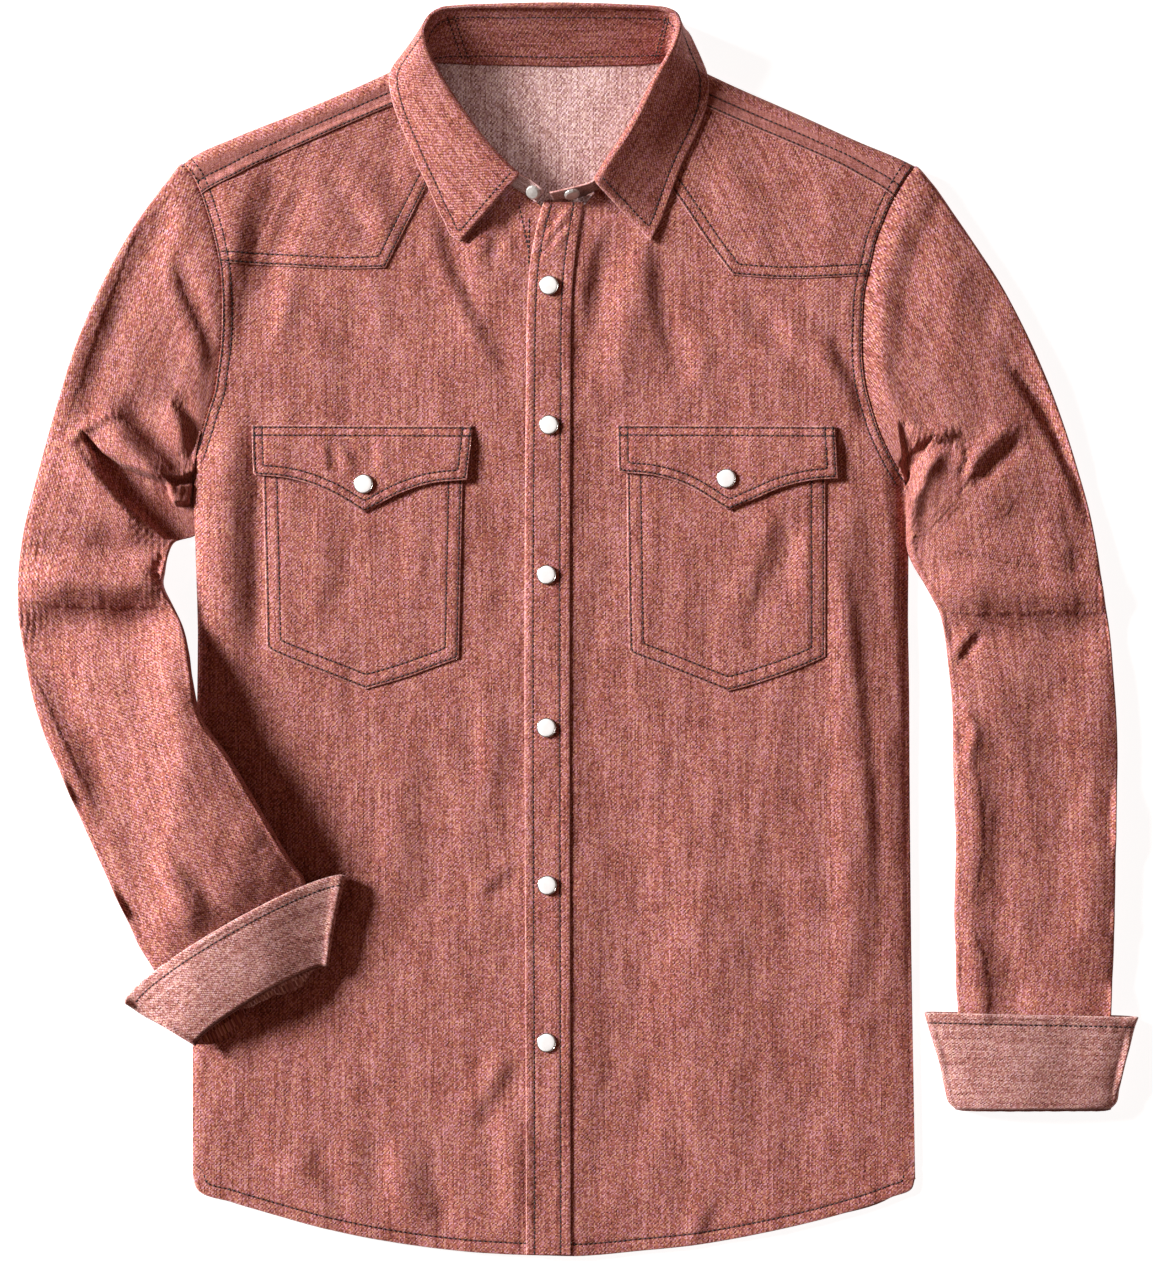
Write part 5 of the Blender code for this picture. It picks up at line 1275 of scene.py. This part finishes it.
STAND_GAP, STAND_GAP_BEHIND = 0.5, 1.3  # over the fronts, and over the yoke behind the neck
STAND_END_SEAMS = (-84, -79, 55, 59)
REST_REACH = 4.0


def rest_height(x, y):
    """Highest cloth of the body within reach of each point."""
    turns = np.linspace(0, math.tau, 7)[:-1]
    spots = [(0, 0)] + [(REST_REACH * math.cos(t), REST_REACH * math.sin(t)) for t in turns]
    return np.max([highest(body_surfaces, x + dx, y + dy) for dx, dy in spots], axis=0)


stations = through(STAND)
stand_rows = stations(np.linspace(0, 1, round(stations.length / COLLAR_STEP)))
seam_height = rest_height(stand_rows[:, 0], stand_rows[:, 1]) + STAND_GAP
behind_neck = (stand_rows[:, 1] > 359) & (abs(stand_rows[:, 0] + 18) < 72)
seam_height = np.where(behind_neck, CLOTH + STAND_GAP_BEHIND, seam_height)
even_out(seam_height, 3)
seam = np.column_stack([stand_rows[:, :2], seam_height])
edge = stand_rows[:, 2:5]
stand_points = np.array([seam + (edge - seam) * place for place in STAND_PLACES])
stand_deep = np.array(STAND_PLACES) * STAND_WIDTH
stand_grain = np.dstack(np.broadcast_arrays(run_along(edge)[None, :], stand_deep[:, None]))
stand_grain = stand_grain[..., ::-1] + STAND_SHIFT
collar_stand, _ = cut_cloth(
    "collar_stand_cloth", stand_points, stand_grain,
    [(stand_points[-1, :, :2], ()), (stand_points[:, 0, :2], ()), (stand_points[:, -1, :2], ())],
    rust_face, pale_reverse)
end_seams = [np.argmin(abs(edge[:, 0] - x) + abs(edge[:, 1] - 390)) for x in STAND_END_SEAMS]
stand_stitches = sew(
    "collar_stand_stitches",
    *((seam + (edge - seam) * place)[3:-3] for place in (STAND_ROW, 1 - STAND_ROW)),
    *(stand_points[3:-3, k] for k in end_seams))
declare(collar_stand, stand_grain,
        [stand_stitches])
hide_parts("collar_stand")

# ---------------------------------------------------------------- collar leaf
# A stiff double leaf with two long points. It is sewn to the stand, rolls over its top edge
# and falls out over the shoulders, topstitched one row in from its free edges.
LEAF = [                            # fold in space, then the free edge in plan
    (-37, 290, 15.5, -74, 247), (-41, 293.2, 15.7, -80, 250.5), (-48, 300, 16.3, -84.5, 259),
    (-55, 307.3, 17.2, -90, 270), (-63, 317, 18.5, -95, 281.5), (-69, 325.3, 19.5, -100.5, 293),
    (-77, 336.8, 20.8, -106.5, 307), (-83, 346, 21.8, -113, 322), (-88, 354.8, 22.7, -117.5, 335),
    (-92.5, 363.5, 24, -120, 350), (-95, 371, 25, -117.5, 359.5), (-95.8, 377, 26, -110.5, 369.5),
    (-94.5, 383, 27, -101.5, 381), (-90.5, 388.2, 27.8, -94, 389),
    (-84.5, 391.5, 28.5, -86, 392.8), (-75, 392.6, 29, -76, 393.3),
    (-50, 393, 30, -50, 393.6), (-25, 393.2, 30, -25, 393.8),
    (5, 393.2, 30, 5, 393.8), (30, 392.8, 30, 30, 393.5), (46, 392.3, 30, 46, 393),
    (54, 391.2, 30, 55.5, 391.8), (60, 388.3, 30, 62, 387.8), (62.4, 383, 30, 70, 382),
    (61.6, 377, 30, 75.5, 371.5), (58, 367.8, 29.3, 81, 358), (53, 358.5, 28.7, 83, 346),
    (47.5, 349, 28.3, 81.5, 333), (41, 336.5, 27, 75.5, 316), (35, 325, 26, 69.5, 304),
    (30, 316.5, 24.6, 65, 294), (24, 307.5, 23.5, 60, 281), (18.5, 299.8, 22.6, 56, 270),
    (13.5, 291.5, 22, 52, 259), (10, 286, 21.5, 46, 247.5)]
LEAF_ROLL = [(-0.3, 0.4), (-0.5, 1.4), (0.0, 2.6), (1.3, 3.5), (3.2, 3.8)]
LEAF_DROP = [*np.linspace(0, 0.86, 24)[1:], 0.88, 0.90, 0.915, 0.93, 0.95, 0.965, 0.98, 0.99, 1.0]
LEAF_ROW = 5.5
LEAF_WALL, LEAF_GAP, LEAF_SHIFT = 1.4, 1.0, 1200
NECK_CENTRE = np.array((-16.0, 338.0))

stations = through(LEAF)
leaf_rows = stations(np.linspace(0, 1, round(stations.length / COLLAR_STEP)))
fold_line, free_edge = leaf_rows[:, :3], leaf_rows[:, 3:5]
outward = fold_line[:, :2] - NECK_CENTRE
outward /= np.linalg.norm(outward, axis=1)[:, None]
leaf_points = [np.column_stack([fold_line[:, :2] + outward * out, fold_line[:, 2] + up])
               for out, up in LEAF_ROLL]
start = leaf_points[-1]
for share in LEAF_DROP:
    spot = start[:, :2] + (free_edge - start[:, :2]) * share
    rest = rest_height(spot[:, 0], spot[:, 1]) + CLOTH + LEAF_GAP
    even_out(rest, 4)
    to_right = softly((spot[:, 0] + 60) / 80)
    fallen = to_right * (1 - share) ** 1.7 + (1 - to_right) * (1 - share ** 1.4)
    height = rest + (start[:, 2] - rest) * fallen
    leaf_points.append(np.column_stack([spot, height]))
leaf_points = np.array(leaf_points)
leaf_sides = leaf_points[4:, 0, :2], leaf_points[-1, :, :2], leaf_points[:3:-1, -1, :2]
leaf_edge = np.vstack(leaf_sides)
x, y = leaf_points[..., 0], leaf_points[..., 1]
leaf_points[..., 2] += (sewn(leaf_edge, x, y, rows=(LEAF_ROW,), pull=0.3)
                        + 0.35 * ripple(x, y, 24, 30, 61.0))
leaf_deep = np.cumsum(np.linalg.norm(np.diff(leaf_points, axis=0, prepend=leaf_points[:1]),
                                     axis=2), axis=0)
leaf_grain = np.dstack(np.broadcast_arrays(LEAF_SHIFT + leaf_deep, run_along(free_edge)[None, :]))
collar_leaf, leaf_surface = cut_cloth(
    "collar_leaf_cloth", leaf_points, leaf_grain, [(leaf_edge, (LEAF_ROW,))], rust_face,
    pale_reverse, wall=LEAF_WALL)
leaf_row = inset(np.vstack([drawn(through(line)) for line in leaf_sides]), -LEAF_ROW)
leaf_stitches = sew("collar_leaf_stitches", *(
    laid_on([leaf_surface], leaf_row[(leaf_row[:, 1] < 376) & (side * (leaf_row[:, 0] + 20) > 0)])
    for side in (-1, 1)))
declare(collar_leaf, leaf_grain, [leaf_stitches])
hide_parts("collar_leaf")

# ---------------------------------------------------------------- snaps
# Pearl snaps: a round pearl face held by the rim of a thin steel ring, clinched through the
# cloth. Six close the placket, one closes each flap, and the collar's own snap is undone.
SNAP_RADIUS = 6.2
SNAP_HEIGHT = 2.0
SNAP_SUNK = 0.7                     # the clinched ring presses into the cloth
SNAP_STEPS = 64
SNAPS = [("snap_1", -18.5, 219.5), ("snap_2", -18.5, 131.0), ("snap_3", -20.0, 36.0),
         ("snap_4", -20.0, -61.0), ("snap_5", -19.5, -161.0), ("snap_6", -20.0, -261.0),
         ("snap_flap_left", -136.0, 93.5), ("snap_flap_right", 94.0, 97.0)]
RING_INSIDE, RING_FOOT = 0.905, 0.5  # steel past this share of the radius, and below this height
SNAP_FACE = [(0, 0.86), (0.35, 0.86), (0.62, 0.845), (0.80, 0.81), (0.88, 0.74), (0.91, 0.60)]
SNAP_RING = [(0.90, 0.56), (0.92, 0.70), (0.95, 0.72), (0.98, 0.62), (1.0, 0.40), (1.0, 0.12),
             (0.97, 0.0), (0.0, 0.0)]

pearl, tree, shader = start_material("pearl", 0.22)
spot = wired(tree, "TexCoord").outputs["Object"]
layers = wired(tree, "TexNoise", {"Vector": spot, "Scale": 260.0, "Detail": 3.0})
pearl_tone = wired(tree, "ValToRGB", {"Fac": layers.outputs[0]})
pearl_tone.color_ramp.elements[0].color = (0.80, 0.81, 0.80, 1.0)
pearl_tone.color_ramp.elements[1].color = (0.97, 0.98, 0.99, 1.0)
tree.links.new(pearl_tone.outputs[0], shader.inputs["Base Color"])
shader.inputs["Coat Weight"].default_value = 0.4

steel, tree, shader = start_material("steel_ring", 0.3, metallic=1.0)
brushed = wired(tree, "TexNoise", {"Vector": wired(tree, "TexCoord").outputs["Object"],
                                   "Scale": 1500.0})
steel_tone = wired(tree, "ValToRGB", {"Fac": brushed.outputs[0]})
steel_tone.color_ramp.elements[0].color = (0.34, 0.32, 0.31, 1.0)
steel_tone.color_ramp.elements[1].color = (0.62, 0.60, 0.58, 1.0)
tree.links.new(steel_tone.outputs[0], shader.inputs["Base Color"])


def spin_round(bm, profile, radius, height):
    """A closed round part from its half section of radius and height shares."""
    ring = [bm.verts.new((r * radius, 0, h * height)) for r, h in profile]
    line = [bm.edges.new(pair) for pair in zip(ring, ring[1:])]
    bmesh.ops.spin(bm, geom=ring + line, cent=(0, 0, 0), axis=(0, 0, 1), dvec=(0, 0, 0),
                   angle=math.tau, steps=SNAP_STEPS, use_merge=True, use_duplicate=False)
    bmesh.ops.remove_doubles(bm, verts=bm.verts[:], dist=0.001)


def make_snap(name, x, y):
    """A closed snap's cap, pressed into the cloth at a point of the plan."""
    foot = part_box(name)[1].z - (SNAP_HEIGHT + SUNK + SNAP_SUNK) * MM
    bm = bmesh.new()
    spin_round(bm, SNAP_FACE + SNAP_RING, SNAP_RADIUS, SNAP_HEIGHT)
    bmesh.ops.recalc_face_normals(bm, faces=bm.faces[:])
    for face in bm.faces:
        middle = face.calc_center_median()
        outside = math.hypot(middle.x, middle.y) > RING_INSIDE * SNAP_RADIUS
        face.material_index = 1 if outside or middle.z < RING_FOOT else 0
    bmesh.ops.scale(bm, verts=bm.verts[:], vec=(MM, MM, MM))
    bmesh.ops.translate(bm, verts=bm.verts[:], vec=(x * MM, y * MM, foot))
    snap = link_mesh(name + "_pearl", bm, pearl, steel)
    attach(snap, "root")
    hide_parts(name)


for name, x, y in SNAPS:
    make_snap(name, x, y)

# The collar's stud and the back of its cap are bare nickel.
nickel, tree, shader = start_material("bright_nickel", 0.34, metallic=0.55)
tarnish = wired(tree, "TexNoise", {"Vector": wired(tree, "TexCoord").outputs["Object"],
                                   "Scale": 700.0})
nickel_tone = wired(tree, "ValToRGB", {"Fac": tarnish.outputs[0]})
nickel_tone.color_ramp.elements[0].color = (0.42, 0.40, 0.38, 1.0)
nickel_tone.color_ramp.elements[1].color = (0.74, 0.73, 0.71, 1.0)
tree.links.new(nickel_tone.outputs[0], shader.inputs["Base Color"])
for node in ("snap_collar_stud", "snap_collar_cap"):
    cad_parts[node].material_slots[0].material = nickel
